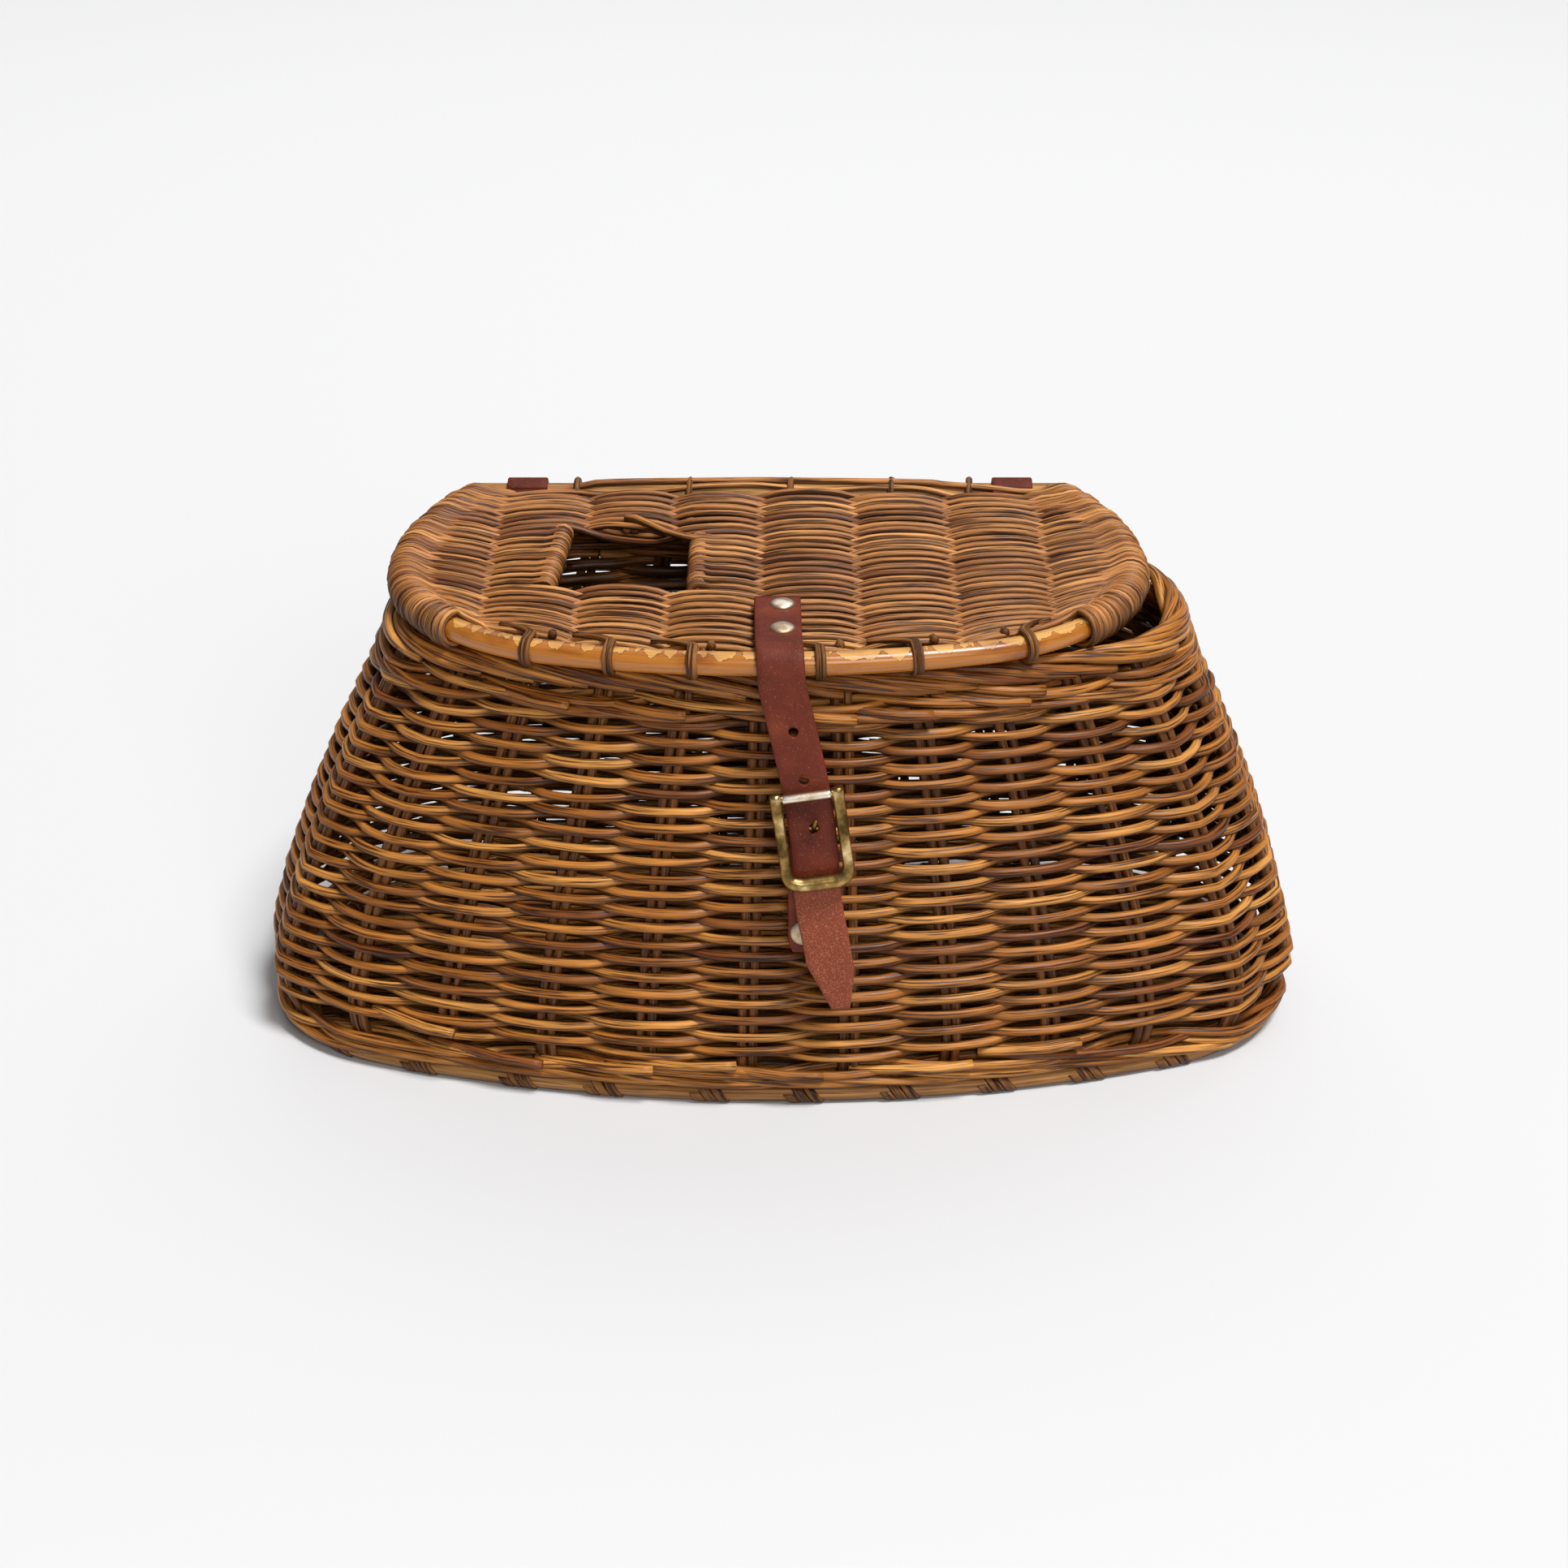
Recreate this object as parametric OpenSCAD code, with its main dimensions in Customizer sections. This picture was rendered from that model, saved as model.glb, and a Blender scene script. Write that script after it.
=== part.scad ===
// Wicker creel basket: D-shaped body woven on paired stakes, hinged lid with a square hole,
// and a leather closing strap with a centre bar roller buckle. Millimetres, +Z up, front faces -Y.

/* [Body] */
// Half width of the wall's middle surface at the belly
belly_half = 187; // [160:0.5:200]
// Half width of the wall's middle surface under the border
rim_half = 138; // [130:0.5:145]
// Front of the wall's middle surface at the belly, measured forward
belly_front = 92.5; // [88:0.5:100]
// Front of the wall's middle surface under the border, measured forward
rim_front = 72; // [70:0.5:76]
// Thickness of the woven wall
wall_t = 9.2; // [8:0.1:10]
// Number of stake pairs round the body
stake_pairs = 26; // [20:2:32]
// Diameter of one stake rod
stake_d = 3; // [2.4:0.1:3.4]

/* [Base] */
// Diameter of the hoop round the base
hoop_d = 5.6; // [4.6:0.1:6]
// Thickness of the woven base
base_t = 5; // [4:0.5:6]
// Number of flat cane wraps on the hoop
wrap_count = 24; // [16:2:32]

/* [Rim] */
// Height of the border's middle above the ground
border_z = 150.6; // [150.2:0.1:150.8]
// Diameter of the rolled border
border_d = 10.4; // [10:0.1:10.6]

/* [Lid] */
// Height of the lid's middle plane
lid_z = 161.5; // [161.3:0.1:163]
// Half length of the straight back rail
rail_half = 109.5; // [108:0.5:111]
// Diameter of the lid's cane frame
cane_d = 8; // [7.6:0.1:8.2]
// Thickness of the woven lid
lid_t = 7; // [6:0.1:7.2]
// Sideways offset of the lid on the body
lid_shift = -4; // [-6:0.5:0]

/* [Strap] */
// Width of the leather strap
strap_w = 16; // [14:0.5:16]
// Thickness of the leather strap
strap_t = 2.2; // [1.6:0.1:2.4]
// Lean of the hanging strap from upright, to the front
strap_lean = 8; // [7:0.5:9]
// Slant of the hanging strap to the right
strap_slant = 8; // [5:0.5:9]

/* [Hidden] */
ring_n = 72;
wall_base_z = 8;
wall_top_z = 146;
rail_y = 73.5;
rail_x0 = lid_shift + 1.5 - rail_half;
lid_front = 77.8;
lid_end_half = 127.5;
strap_x = 2.6;
strap_y = -84.2;
strap_z = 158;
roller_s = 40.6;
bar_s = 58;
frame_s = 72.6;
bar_n = -3.4;
hole_s = 51.9;
hole_step = 17.3;
tie_x = [-84, -56.6, -29, 13.4, 45.4, 83];
nub_x = [-76, -34, 3.6, 41, 70];
lid_stakes_at = [[-86, -60, 58], [-54, -69, -19], [-54, 33, 67], [-24, -72.5, 67], [10, -73, 67],
    [44, -69.5, 67], [78, -61, 58]];
tab_x = [-94, 86.5];

// ---- plan outlines: a D of tangent arcs [half width, front, back, front radius, corner, back corner]

function frontCornerY(o) = -o[1] + o[3] - sqrt(pow(o[3] - o[4], 2) - pow(o[0] - o[4], 2));
function frontAngle(o) = asin((o[0] - o[4]) / (o[3] - o[4]));
function legs(o) = [
    o[0] - o[5],
    o[5] * PI / 2,
    max(0, o[2] - o[5] - frontCornerY(o)),
    o[4] * (90 - frontAngle(o)) * PI / 180,
    o[3] * frontAngle(o) * PI / 180];
function halfLength(o) = legs(o) * [1, 1, 1, 1, 1];
function onArc(cx, cy, r, a) = [cx + r * sin(a), cy - r * cos(a), sin(a), -cos(a)];
// Point and outward normal [x, y, nx, ny] on the right half, at distance d from the back's middle
function halfPoint(o, d) =
    let (g = legs(o))
    d < g[0] ? [d, o[2], 0, 1] :
    d < g[0] + g[1] ? onArc(o[0] - o[5], o[2] - o[5], o[5], 180 - (d - g[0]) / o[5] * 180 / PI) :
    d < g[0] + g[1] + g[2] ? [o[0], o[2] - o[5] - (d - g[0] - g[1]), 1, 0] :
    d < g[0] + g[1] + g[2] + g[3] ?
        onArc(o[0] - o[4], frontCornerY(o), o[4], 90 - (d - g[0] - g[1] - g[2]) / o[4] * 180 / PI) :
    onArc(0, -o[1] + o[3], o[3], (halfLength(o) - d) / o[3] * 180 / PI);
// The same for a fraction of the whole way round, from the back's middle towards the right side
function planPoint(o, f, cx) =
    let (t = f - floor(f), h = halfLength(o), p = halfPoint(o, (t < 0.5 ? t : 1 - t) * 2 * h))
    t < 0.5 ? [p[0] + cx, p[1], p[2], p[3]] : [cx - p[0], p[1], -p[2], p[3]];

// ---- body: how the outline changes with height

function rise(z) = pow(max(0, (z - wall_base_z) / (wall_top_z - wall_base_z)), 1.4);
function between(a, b, u) = a + (b - a) * u;
// The foot is tucked in under the belly
function tuck(z) = pow(max(0, (30 - z) / 22), 2);
function wallOutline(z) =
    let (u = rise(z), k = tuck(z))
    [between(belly_half, rim_half, u) - 8.5 * k, between(belly_front, rim_front, u) - 1.2 * k,
     between(73, 67, u) - 1.5 * k, between(420, 300, u), between(42, 41, u), between(60, 79, u)];
function lean(z) = 2.5 * rise(z);
function wallPoint(z, f, out) =
    let (p = planPoint(wallOutline(z), f, lean(z)))
    [p[0] + p[2] * out, p[1] + p[3] * out, z];

// ---- sweeps and shells

function ringFaces(rings, n, closed) = [
    for (i = [0:rings - (closed ? 1 : 2)])
        for (j = [0:n - 1])
            let (a = i * n, b = ((i + 1) % rings) * n, k = (j + 1) % n)
            each [[a + j, b + j, b + k], [a + j, b + k, a + k]]];
function capFaces(rings, n) = [[for (j = [0:n - 1]) j], [for (j = [n - 1:-1:0]) (rings - 1) * n + j]];
function shifted(faces, by) = [for (f = faces) [for (v = f) v + by]];
function unit(v) = v / norm(v);
// Ring of n points round point p, square to direction d
function ringAt(p, d, r, n) =
    let (u = unit(cross(d, [0, 0.12, 1])), v = unit(cross(u, d)))
    [for (j = [0:n - 1]) p + r * (cos(j * 360 / n) * u + sin(j * 360 / n) * v)];
function tubeRings(path, radii, n) = [
    for (i = [0:len(path) - 1])
        let (a = path[max(0, i - 1)], b = path[min(len(path) - 1, i + 1)])
        each ringAt(path[i], unit(b - a), radii[i], n)];

// Tube along an open path, with flat ends
module tube(path, radii, n) {
    polyhedron(
        points = tubeRings(path, radii, n),
        faces = concat(ringFaces(len(path), n, false), capFaces(len(path), n)));
}

// Round tube along a closed outline at one height
module hoop(o, z, r, n, cx) {
    polyhedron(
        points = [
            for (i = [0:ring_n - 1])
                let (p = planPoint(o, i / ring_n, cx))
                for (j = [0:n - 1])
                    let (a = j * 360 / n)
                    [p[0] + p[2] * r * cos(a), p[1] + p[3] * r * cos(a), z + r * sin(a)]],
        faces = ringFaces(ring_n, n, true));
}

// Woven wall between listed heights, half as thick again at each side of its middle surface
module shell(heights, half) {
    m = len(heights);
    section = concat(
        [for (z = heights) [z, half]],
        [for (i = [m - 1:-1:0]) [heights[i], -half]]);
    polyhedron(
        points = [for (i = [0:ring_n - 1]) for (s = section) wallPoint(s[0], i / ring_n, s[1])],
        faces = [for (f = ringFaces(ring_n, 2 * m, true)) [f[0], f[1], f[2]]]);
}

base_outline = [belly_half - 15.5, belly_front - 0.3, 70, 420, 42, 60];
border_outline = [rim_half - 1.5, 71.6, 66, 300, 40, 78];
stake_levels = [4, 12, 20, 30, 60, 90, 120, 149];

// ---- lid outline: straight back rail, round ends, bowed front

// The front cane's path from the left back corner round the front to the right back corner
lid_o = [lid_end_half, lid_front, 122, 290, 72, 120];
cane_from = legs(lid_o)[0] + lid_o[5] * acos((rail_y - lid_o[2] + lid_o[5]) / lid_o[5]) * PI / 180;
cane_to = 2 * halfLength(lid_o) - cane_from;
function canePoint(d, out) =
    let (p = planPoint(lid_o, d / (2 * halfLength(lid_o)), lid_shift))
    [p[0] + p[2] * out, p[1] + p[3] * out, lid_z];
function caneWay(from, to, count) = [for (i = [0:count]) canePoint(between(from, to, i / count), 0)];
corner_x = lid_o[0] - lid_o[4];
function caneTurn(d) =
    abs(d) < lid_o[3] * sin(frontAngle(lid_o)) ? asin(d / lid_o[3])
    : sign(d) * asin((abs(d) - corner_x) / lid_o[4]);
function caneY(d) =
    abs(d) < lid_o[3] * sin(frontAngle(lid_o)) ? lid_o[3] - lid_front - lid_o[3] * cos(caneTurn(d))
    : frontCornerY(lid_o) - lid_o[4] * cos(caneTurn(d));

hole_corners = [[-76.5, 36], [-79.5, -15], [-31, -20], [-31, 26]];

// ---- frames for the hanging strap and the buckle

// x across the strap, y out of its face, z up along it, from the fold over the lid's front cane
module strapPlace(s, n) {
    translate([strap_x, strap_y, strap_z])
        rotate([-strap_lean, 0, 0])
            rotate([0, -strap_slant, 0])
                translate([0, -n, -s])
                    children();
}

module acrossRod(r, len) {
    rotate([0, 90, 0])
        cylinder(r = r, h = len, center = true, $fn = 48);
}

// Flat belt round two rods of radius a (top) and b (bottom), centres d apart
module beltShape(a, b, d) {
    k = asin((b - a) / d);
    circle(r = a, $fn = 64);
    translate([0, -d])
        circle(r = b, $fn = 64);
    polygon([[a * cos(k), a * sin(k)], [-a * cos(k), a * sin(k)],
        [-b * cos(k), b * sin(k) - d], [b * cos(k), b * sin(k) - d]]);
}

module hingeTab(x) {
    drop = rail_y - border_outline[2];
    down = lid_z - border_z;
    reach = norm([drop, down]);
    color("saddlebrown")
        translate([x, rail_y, lid_z])
            rotate([-atan2(drop, down), 0, 0])
                rotate([0, 90, 0])
                    linear_extrude(height = 15, center = true)
                        rotate([0, 0, 90])
                            difference() {
                                beltShape(6.1, 5.4, reach);
                                beltShape(4.05, 3.4, reach);
                            }
}

// ---- body pieces

module base_weave() {
    color("tan")
        linear_extrude(height = base_t)
            polygon([for (i = [0:ring_n - 1])
                let (p = planPoint(base_outline, i / ring_n, 0), k = hoop_d / 2 + 0.4)
                [p[0] - p[2] * k, p[1] - p[3] * k]]);
}

module base_hoop() {
    color("burlywood")
        hoop(base_outline, hoop_d / 2, hoop_d / 2, 10, 0);
}

module base_binding() {
    n = 10;
    r = hoop_d / 2 + 0.5;
    rings = [
        for (i = [0:wrap_count - 1])
            let (mid = (i + 0.35) / wrap_count, w = 5 / (2 * halfLength(base_outline)))
            [for (t = [mid - w, mid + w])
                let (p = planPoint(base_outline, t, 0))
                each [for (j = [0:n - 1])
                    let (a = j * 360 / n)
                    [p[0] + p[2] * r * cos(a), p[1] + p[3] * r * cos(a),
                     max(0, hoop_d / 2 + r * sin(a))]]]];
    color("wheat")
        polyhedron(
            points = [for (w = rings) each w],
            faces = [for (i = [0:wrap_count - 1])
                each shifted(concat(ringFaces(2, n, false), capFaces(2, n)), i * 2 * n)]);
}

module upset_wale() {
    color("peru")
        shell([5.8, 10, 15.5], 5.2);
}

module side_stakes() {
    n = 6;
    m = len(stake_levels);
    fans = [
        for (i = [0:stake_pairs - 1])
            for (side = [-1, 1])
                let (f = (i + 0.32) / stake_pairs)
                [for (z = stake_levels)
                    let (o = wallOutline(z), p = planPoint(o, f + side * 1.85 / (2 * halfLength(o)), lean(z)))
                    each [for (j = [0:n - 1])
                        let (a = j * 60, r = stake_d / 2)
                        [p[0] + r * cos(a), p[1] + r * sin(a), z]]]];
    color("sienna")
        polyhedron(
            points = [for (s = fans) each s],
            faces = [for (i = [0:len(fans) - 1])
                each shifted(concat(ringFaces(m, n, false), capFaces(m, n)), i * m * n)]);
}

module side_weave() {
    color("goldenrod")
        shell([15.5, 21, 29, 42, 58, 74, 90, 106, 122, 134, 141], wall_t / 2);
}

module rim_wale() {
    color("peru")
        shell([141, 145.4], 5);
}

module rim_border() {
    color("darkgoldenrod")
        hoop(border_outline, border_z, border_d / 2, 12, 2.5);
}

module hinge_tab_left() {
    hingeTab(tab_x[0]);
}

module hinge_tab_right() {
    hingeTab(tab_x[1]);
}

// Short strap folded round the buckle's centre bar and hanging straight down, notched for the prong
module chape() {
    color("saddlebrown")
        strapPlace(bar_s, bar_n)
            difference() {
                union() {
                    acrossRod(2.15, strap_w);
                    rotate([0, strap_slant, 0])
                        translate([-strap_w / 2, -0.4, -40])
                            cube([strap_w, 2.6, 39.4]);
                }
                acrossRod(0.85, 40);
                cube([3.4, 12, 10], center = true);
            }
}

module chapePlace() {
    strapPlace(bar_s, bar_n)
        rotate([0, strap_slant, 0])
            translate([-2.8, 0, -33])
                rotate([90, 0, 0])
                    children();
}

module chape_rivet() {
    color("silver")
        chapePlace() {
            domed(4.25, 1.5, 0.42);
            translate([0, 0, -13.2])
                cylinder(r = 1, h = 14.4, $fn = 32);
        }
}

module chape_burr() {
    color("silver")
        chapePlace()
            burr(-12.95);
}

// Flat ring under a rivet's closed end
module burr(z) {
    translate([0, 0, z])
        difference() {
            cylinder(r = 3.4, h = 0.9, $fn = 48);
            translate([0, 0, -1])
                cylinder(r = 1.02, h = 3, $fn = 32);
        }
}

// Low domed rivet head of radius r and height h, standing on height z
module domed(r, h, z) {
    ball = (r * r + h * h) / (2 * h);
    translate([0, 0, z])
        intersection() {
            translate([0, 0, h - ball])
                sphere(r = ball, $fn = 96);
            cylinder(r = r, h = h, $fn = 64);
        }
}

// ---- lid pieces

module lid_back_rail() {
    color("orange")
        translate([rail_x0 + rail_half, rail_y, lid_z])
            acrossRod(cane_d / 2, 2 * rail_half);
}

module lid_front_cane() {
    path = caneWay(cane_from, cane_to, 44);
    color("orange")
        tube(path, [for (p = path) cane_d / 2], 10);
}

module lid_weave() {
    inset = cane_d / 2 + 1.8;
    edge = [
        for (i = [0:44])
            let (d = between(cane_from + 14, cane_to - 14, i / 44), p = canePoint(d, -inset))
            [p[0], p[1]]];
    back = rail_y - inset;
    color("goldenrod")
        translate([0, 0, lid_z - lid_t / 2])
            linear_extrude(height = lid_t)
                difference() {
                    polygon(concat(edge, [[tab_x[0] - 8.5, back], [tab_x[1] + 8.5, back]]));
                    polygon(hole_corners);
                    translate([tab_x[0] - 28.5, rail_y - 12.2])
                        square([37, 20]);
                    translate([tab_x[1] - 8.5, rail_y - 12.2])
                        square([37, 20]);
                }
}

module lid_stakes() {
    color("sienna")
        for (k = lid_stakes_at)
            translate([k[0], k[2], lid_z])
                rotate([90, 0, 0])
                    cylinder(r = stake_d / 2, h = k[2] - k[1], $fn = 24);
}

module lid_end_wraps() {
    color("goldenrod") {
        tube(caneWay(cane_from + 10, cane_from + 112, 18), [for (i = [0:18]) cane_d / 2 + 1.4], 10);
        tube(caneWay(cane_to - 112, cane_to - 10, 18), [for (i = [0:18]) cane_d / 2 + 1.4], 10);
    }
}

module tieRing(w) {
    rotate([0, 90, 0])
        difference() {
            cylinder(r = cane_d / 2 + 1.5, h = w, center = true, $fn = 48);
            cylinder(r = cane_d / 2, h = w + 1, center = true, $fn = 48);
        }
}

module lid_front_ties() {
    color("wheat")
        for (x = tie_x)
            translate([x, caneY(x - lid_shift), lid_z])
                rotate([0, 0, caneTurn(x - lid_shift)])
                    tieRing(4);
}

module lid_back_ties() {
    color("wheat")
        for (x = nub_x)
            translate([x, rail_y, lid_z])
                tieRing(4);
}

module holeEdge(a, b) {
    run = b - a;
    color("wheat")
        translate([a[0], a[1], lid_z])
            rotate([0, 0, atan2(run[1], run[0])])
                translate([norm(run) / 2, 0, 0])
                    acrossRod(4, norm(run));
}

module hole_edge_left() {
    holeEdge(hole_corners[1], hole_corners[0]);
}

module hole_edge_right() {
    holeEdge(hole_corners[2], hole_corners[3]);
}

// ---- strap pieces

// From the rivets over the front cane to the fold, as one bent band
module strap_head() {
    top = lid_z + lid_t / 2 + 0.1;
    color("brown")
        translate([strap_x, 0, 0])
            rotate([90, 0, 90])
                linear_extrude(height = strap_w, center = true)
                    polygon([[-35, top], [-35, top + strap_t], [-74, top + strap_t + 0.9],
                        [-78, top + strap_t + 1.4], [-81.5, top + strap_t + 0.2],
                        [-84.2, top + strap_t - 2.4], [-85.5, strap_z + 0.15],
                        [-83.3, strap_z + 0.15], [-82.2, top - 1.6], [-80.4, top + 0.4],
                        [-78, top + 1.2], [-74, top + 0.9], [-70, top]]);
}

module strap_rivets() {
    color("silver")
        for (y = [-42, -62])
            translate([strap_x - 1.6, y, lid_z]) {
                domed(4.25, 1.5, lid_t / 2 + 0.1 + strap_t + 0.3);
                translate([0, 0, -lid_t / 2 - 1.4])
                    cylinder(r = 1, h = lid_t + strap_t + 2.4, $fn = 32);
            }
}

module strap_burrs() {
    color("silver")
        for (y = [-42, -62])
            translate([strap_x - 1.6, y, lid_z])
                burr(-lid_t / 2 - 1);
}

module strap_tail() {
    half = strap_w / 2;
    length = 122;
    color("brown")
        strapPlace(0, 0)
            rotate([90, 0, 0])
                difference() {
                    translate([0, 0, -strap_t / 2])
                        linear_extrude(height = strap_t)
                            polygon([[-half, -1.6], [half, -1.6], [half, 12 - length],
                                [half - 5, 2 - length], [2, -length], [-2, -length],
                                [5 - half, 2 - length], [-half, 12 - length]]);
                    for (i = [0:2])
                        translate([0, i * hole_step - hole_s, 0])
                            cylinder(r = 1.75, h = 3 * strap_t, center = true, $fn = 40);
                }
}

// ---- buckle pieces, in the strap's frame

frame_n = 3.3;
frame_half = 10;
bar_r = 1.7;

module sideBar(side) {
    strapPlace((roller_s + frame_s) / 2, frame_n)
        translate([side * frame_half, 0, 0])
            cylinder(r = bar_r, h = frame_s - roller_s, center = true, $fn = 48);
}

module buckle_frame() {
    color("darkkhaki") {
        difference() {
            union() {
                for (side = [-1, 1]) {
                    sideBar(side);
                    strapPlace(roller_s, frame_n)
                        translate([side * frame_half, 0, 0])
                            sphere(r = bar_r + 0.25, $fn = 48);
                    strapPlace(frame_s, frame_n)
                        translate([side * frame_half, 0, 0])
                            sphere(r = bar_r + 0.3, $fn = 48);
                    strapPlace(bar_s, (frame_n + bar_n) / 2)
                        translate([side * frame_half, 0, 0])
                            cube([2 * bar_r - 0.4, frame_n - bar_n + 2.2, 4], center = true);
                }
                strapPlace(frame_s, frame_n)
                    acrossRod(2, 2 * frame_half);
            }
            strapPlace(bar_s, bar_n)
                acrossRod(0.8, 40);
            strapPlace(roller_s, frame_n)
                acrossRod(0.7, 40);
        }
    }
}

module centre_bar() {
    color("darkkhaki")
        strapPlace(bar_s, bar_n)
            acrossRod(0.8, 2 * frame_half + 2);
}

module roller_pin() {
    color("darkkhaki")
        strapPlace(roller_s, frame_n)
            acrossRod(0.7, 2 * frame_half + 2);
}

module roller() {
    color("silver")
        strapPlace(roller_s, frame_n)
            difference() {
                acrossRod(1.35, 15.6);
                acrossRod(0.76, 20);
            }
}

// Eye round the centre bar, then a shank that bends out through the strap's hole
module prong() {
    color("darkkhaki")
        strapPlace(bar_s, bar_n)
            difference() {
                union() {
                    acrossRod(1.75, 2.6);
                    shank([0, 0], [5, 0.6], 0.85);
                    shank([5, 0.6], [6.2, 5.4], 0.8);
                    shank([6.2, 5.4], [9, 6.6], 0.75);
                }
                acrossRod(0.86, 8);
            }
}

// Straight round length between two points given as [up, out]
module shank(a, b, r) {
    run = b - a;
    translate([0, -a[1], a[0]])
        rotate([atan2(run[1], run[0]), 0, 0]) {
            cylinder(r = r, h = norm(run), $fn = 32);
            translate([0, 0, norm(run)])
                sphere(r = r, $fn = 32);
        }
}

base_weave();
base_hoop();
base_binding();
upset_wale();
side_stakes();
side_weave();
rim_wale();
rim_border();
hinge_tab_left();
hinge_tab_right();
chape();
chape_rivet();
chape_burr();
lid_back_rail();
lid_front_cane();
lid_weave();
lid_stakes();
lid_end_wraps();
lid_front_ties();
lid_back_ties();
hole_edge_left();
hole_edge_right();
strap_head();
strap_rivets();
strap_burrs();
strap_tail();
buckle_frame();
centre_bar();
roller_pin();
roller();
prong();
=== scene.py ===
import math
import random
import bpy
import numpy as np
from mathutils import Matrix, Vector


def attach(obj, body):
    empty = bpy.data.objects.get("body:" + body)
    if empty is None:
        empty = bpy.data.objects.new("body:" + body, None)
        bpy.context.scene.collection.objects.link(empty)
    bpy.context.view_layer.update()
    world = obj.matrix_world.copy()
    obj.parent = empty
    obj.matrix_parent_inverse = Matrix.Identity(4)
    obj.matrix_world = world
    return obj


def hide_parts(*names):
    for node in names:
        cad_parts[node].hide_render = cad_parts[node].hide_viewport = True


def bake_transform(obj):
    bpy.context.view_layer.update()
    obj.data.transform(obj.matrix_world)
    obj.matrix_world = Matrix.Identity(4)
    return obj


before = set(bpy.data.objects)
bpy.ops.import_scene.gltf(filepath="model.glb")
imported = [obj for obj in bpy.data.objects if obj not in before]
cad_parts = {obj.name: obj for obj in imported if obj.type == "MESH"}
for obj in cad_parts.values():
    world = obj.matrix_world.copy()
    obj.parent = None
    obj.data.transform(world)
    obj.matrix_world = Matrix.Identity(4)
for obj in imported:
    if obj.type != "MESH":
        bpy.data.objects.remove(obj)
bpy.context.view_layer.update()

mm = 0.001
print("stage: frame loaded")


# colour from sRGB hex to the linear values that shaders use
def hexColour(text, alpha=1.0):
    parts = [int(text[i:i + 2], 16) / 255 for i in (1, 3, 5)]
    linear = [c / 12.92 if c <= 0.04045 else ((c + 0.055) / 1.055) ** 2.4 for c in parts]
    return (*linear, alpha)


# adds a shader node: settings are its own properties, inputs are values or (node, output) links,
# and stops are the places and colours of a ramp
def addNode(tree, kind, inputs=None, stops=(), **settings):
    made = tree.nodes.new(kind)
    for name, value in settings.items():
        setattr(made, name, value)
    for i, (place, colour) in enumerate(stops):
        band = made.color_ramp.elements
        if i == 0:
            stop = band[0]
        elif i == len(stops) - 1:
            stop = band[len(band) - 1]
        else:
            stop = band.new(place)
        stop.position = place
        stop.color = colour
    for name, value in (inputs or {}).items():
        socket = made.inputs[name]
        if isinstance(value, tuple) and len(value) == 2 and hasattr(value[0], "outputs"):
            tree.links.new(value[0].outputs[value[1]], socket)
        else:
            socket.default_value = value
    return made


def newMaterial(name):
    made = bpy.data.materials.new(name)
    made.use_nodes = True
    made.node_tree.nodes.clear()
    return made, made.node_tree


def finishMaterial(tree, shader, bump=None):
    if bump is not None:
        tree.links.new(bump.outputs["Normal"], shader.inputs["Normal"])
    addNode(tree, "ShaderNodeOutputMaterial", {"Surface": (shader, "BSDF")})


# The basket's plan is half width, front, back, front radius, corner and back corner, in millimetres, with
# the front towards -Y. This is where the front's long arc meets the corner's.
def frontCornerY(o):
    return -o[1] + o[3] - math.sqrt((o[3] - o[4]) ** 2 - (o[0] - o[4]) ** 2)


# lengths of the arcs along half an outline: back, back corner, side, front corner, front
def legs(o):
    turn = math.asin((o[0] - o[4]) / (o[3] - o[4]))
    side = max(0, o[2] - o[5] - frontCornerY(o))
    return [o[0] - o[5], o[5] * math.pi / 2, side, o[4] * (math.pi / 2 - turn), o[3] * turn]


def onArc(cx, cy, r, a):
    return cx + r * math.sin(a), cy - r * math.cos(a), math.sin(a), -math.cos(a)


outlineCache = {}


# point and outward normal at a fraction of the way round, from the back's middle to the right
def planPoint(o, f, cx=0.0):
    key = tuple(o)
    if key not in outlineCache:
        outlineCache[key] = (legs(o), sum(legs(o)), frontCornerY(o))
    g, half, cornerY = outlineCache[key]
    t = f - math.floor(f)
    d = (t if t < 0.5 else 1 - t) * 2 * half
    if d < g[0]:
        p = (d, o[2], 0, 1)
    elif d < g[0] + g[1]:
        p = onArc(o[0] - o[5], o[2] - o[5], o[5], math.pi - (d - g[0]) / o[5])
    elif d < sum(g[:3]):
        p = (o[0], o[2] - o[5] - (d - g[0] - g[1]), 1, 0)
    elif d < sum(g[:4]):
        p = onArc(o[0] - o[4], cornerY, o[4], math.pi / 2 - (d - sum(g[:3])) / o[4])
    else:
        p = onArc(0, -o[1] + o[3], o[3], (half - d) / o[3])
    if t < 0.5:
        return p[0] + cx, p[1], p[2], p[3]
    return cx - p[0], p[1], -p[2], p[3]


body = dict(bellyHalf=187, rimHalf=138, bellyFront=92.5, rimFront=72, pairs=26, phase=0.32, foot=30,
            rimShift=2.5)
baseOutline = [171.5, 92.2, 70, 420, 42, 60]
borderOutline = [136.5, 71.6, 66, 300, 40, 78]
lidOutline = [127.5, 77.8, 122, 290, 72, 120]
lidShift = -4
lidZ = 161.5
railY = 73.5


def rise(z):
    return max(0, (z - 8) / 138) ** 1.4


def mix(a, b, u):
    return a + (b - a) * u


def wallOutline(z):
    z = round(z, 1)
    u = rise(z)
    ends = [(body["bellyHalf"], body["rimHalf"]), (body["bellyFront"], body["rimFront"]), (73, 67),
            (420, 300), (42, 41), (60, 79)]
    tuck = max(0, (body["foot"] - z) / 22) ** 2
    o = [mix(a, b, u) for a, b in ends]
    o[0] -= 8.5 * tuck
    o[1] -= 1.2 * tuck
    o[2] -= 1.5 * tuck
    return o


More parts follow.
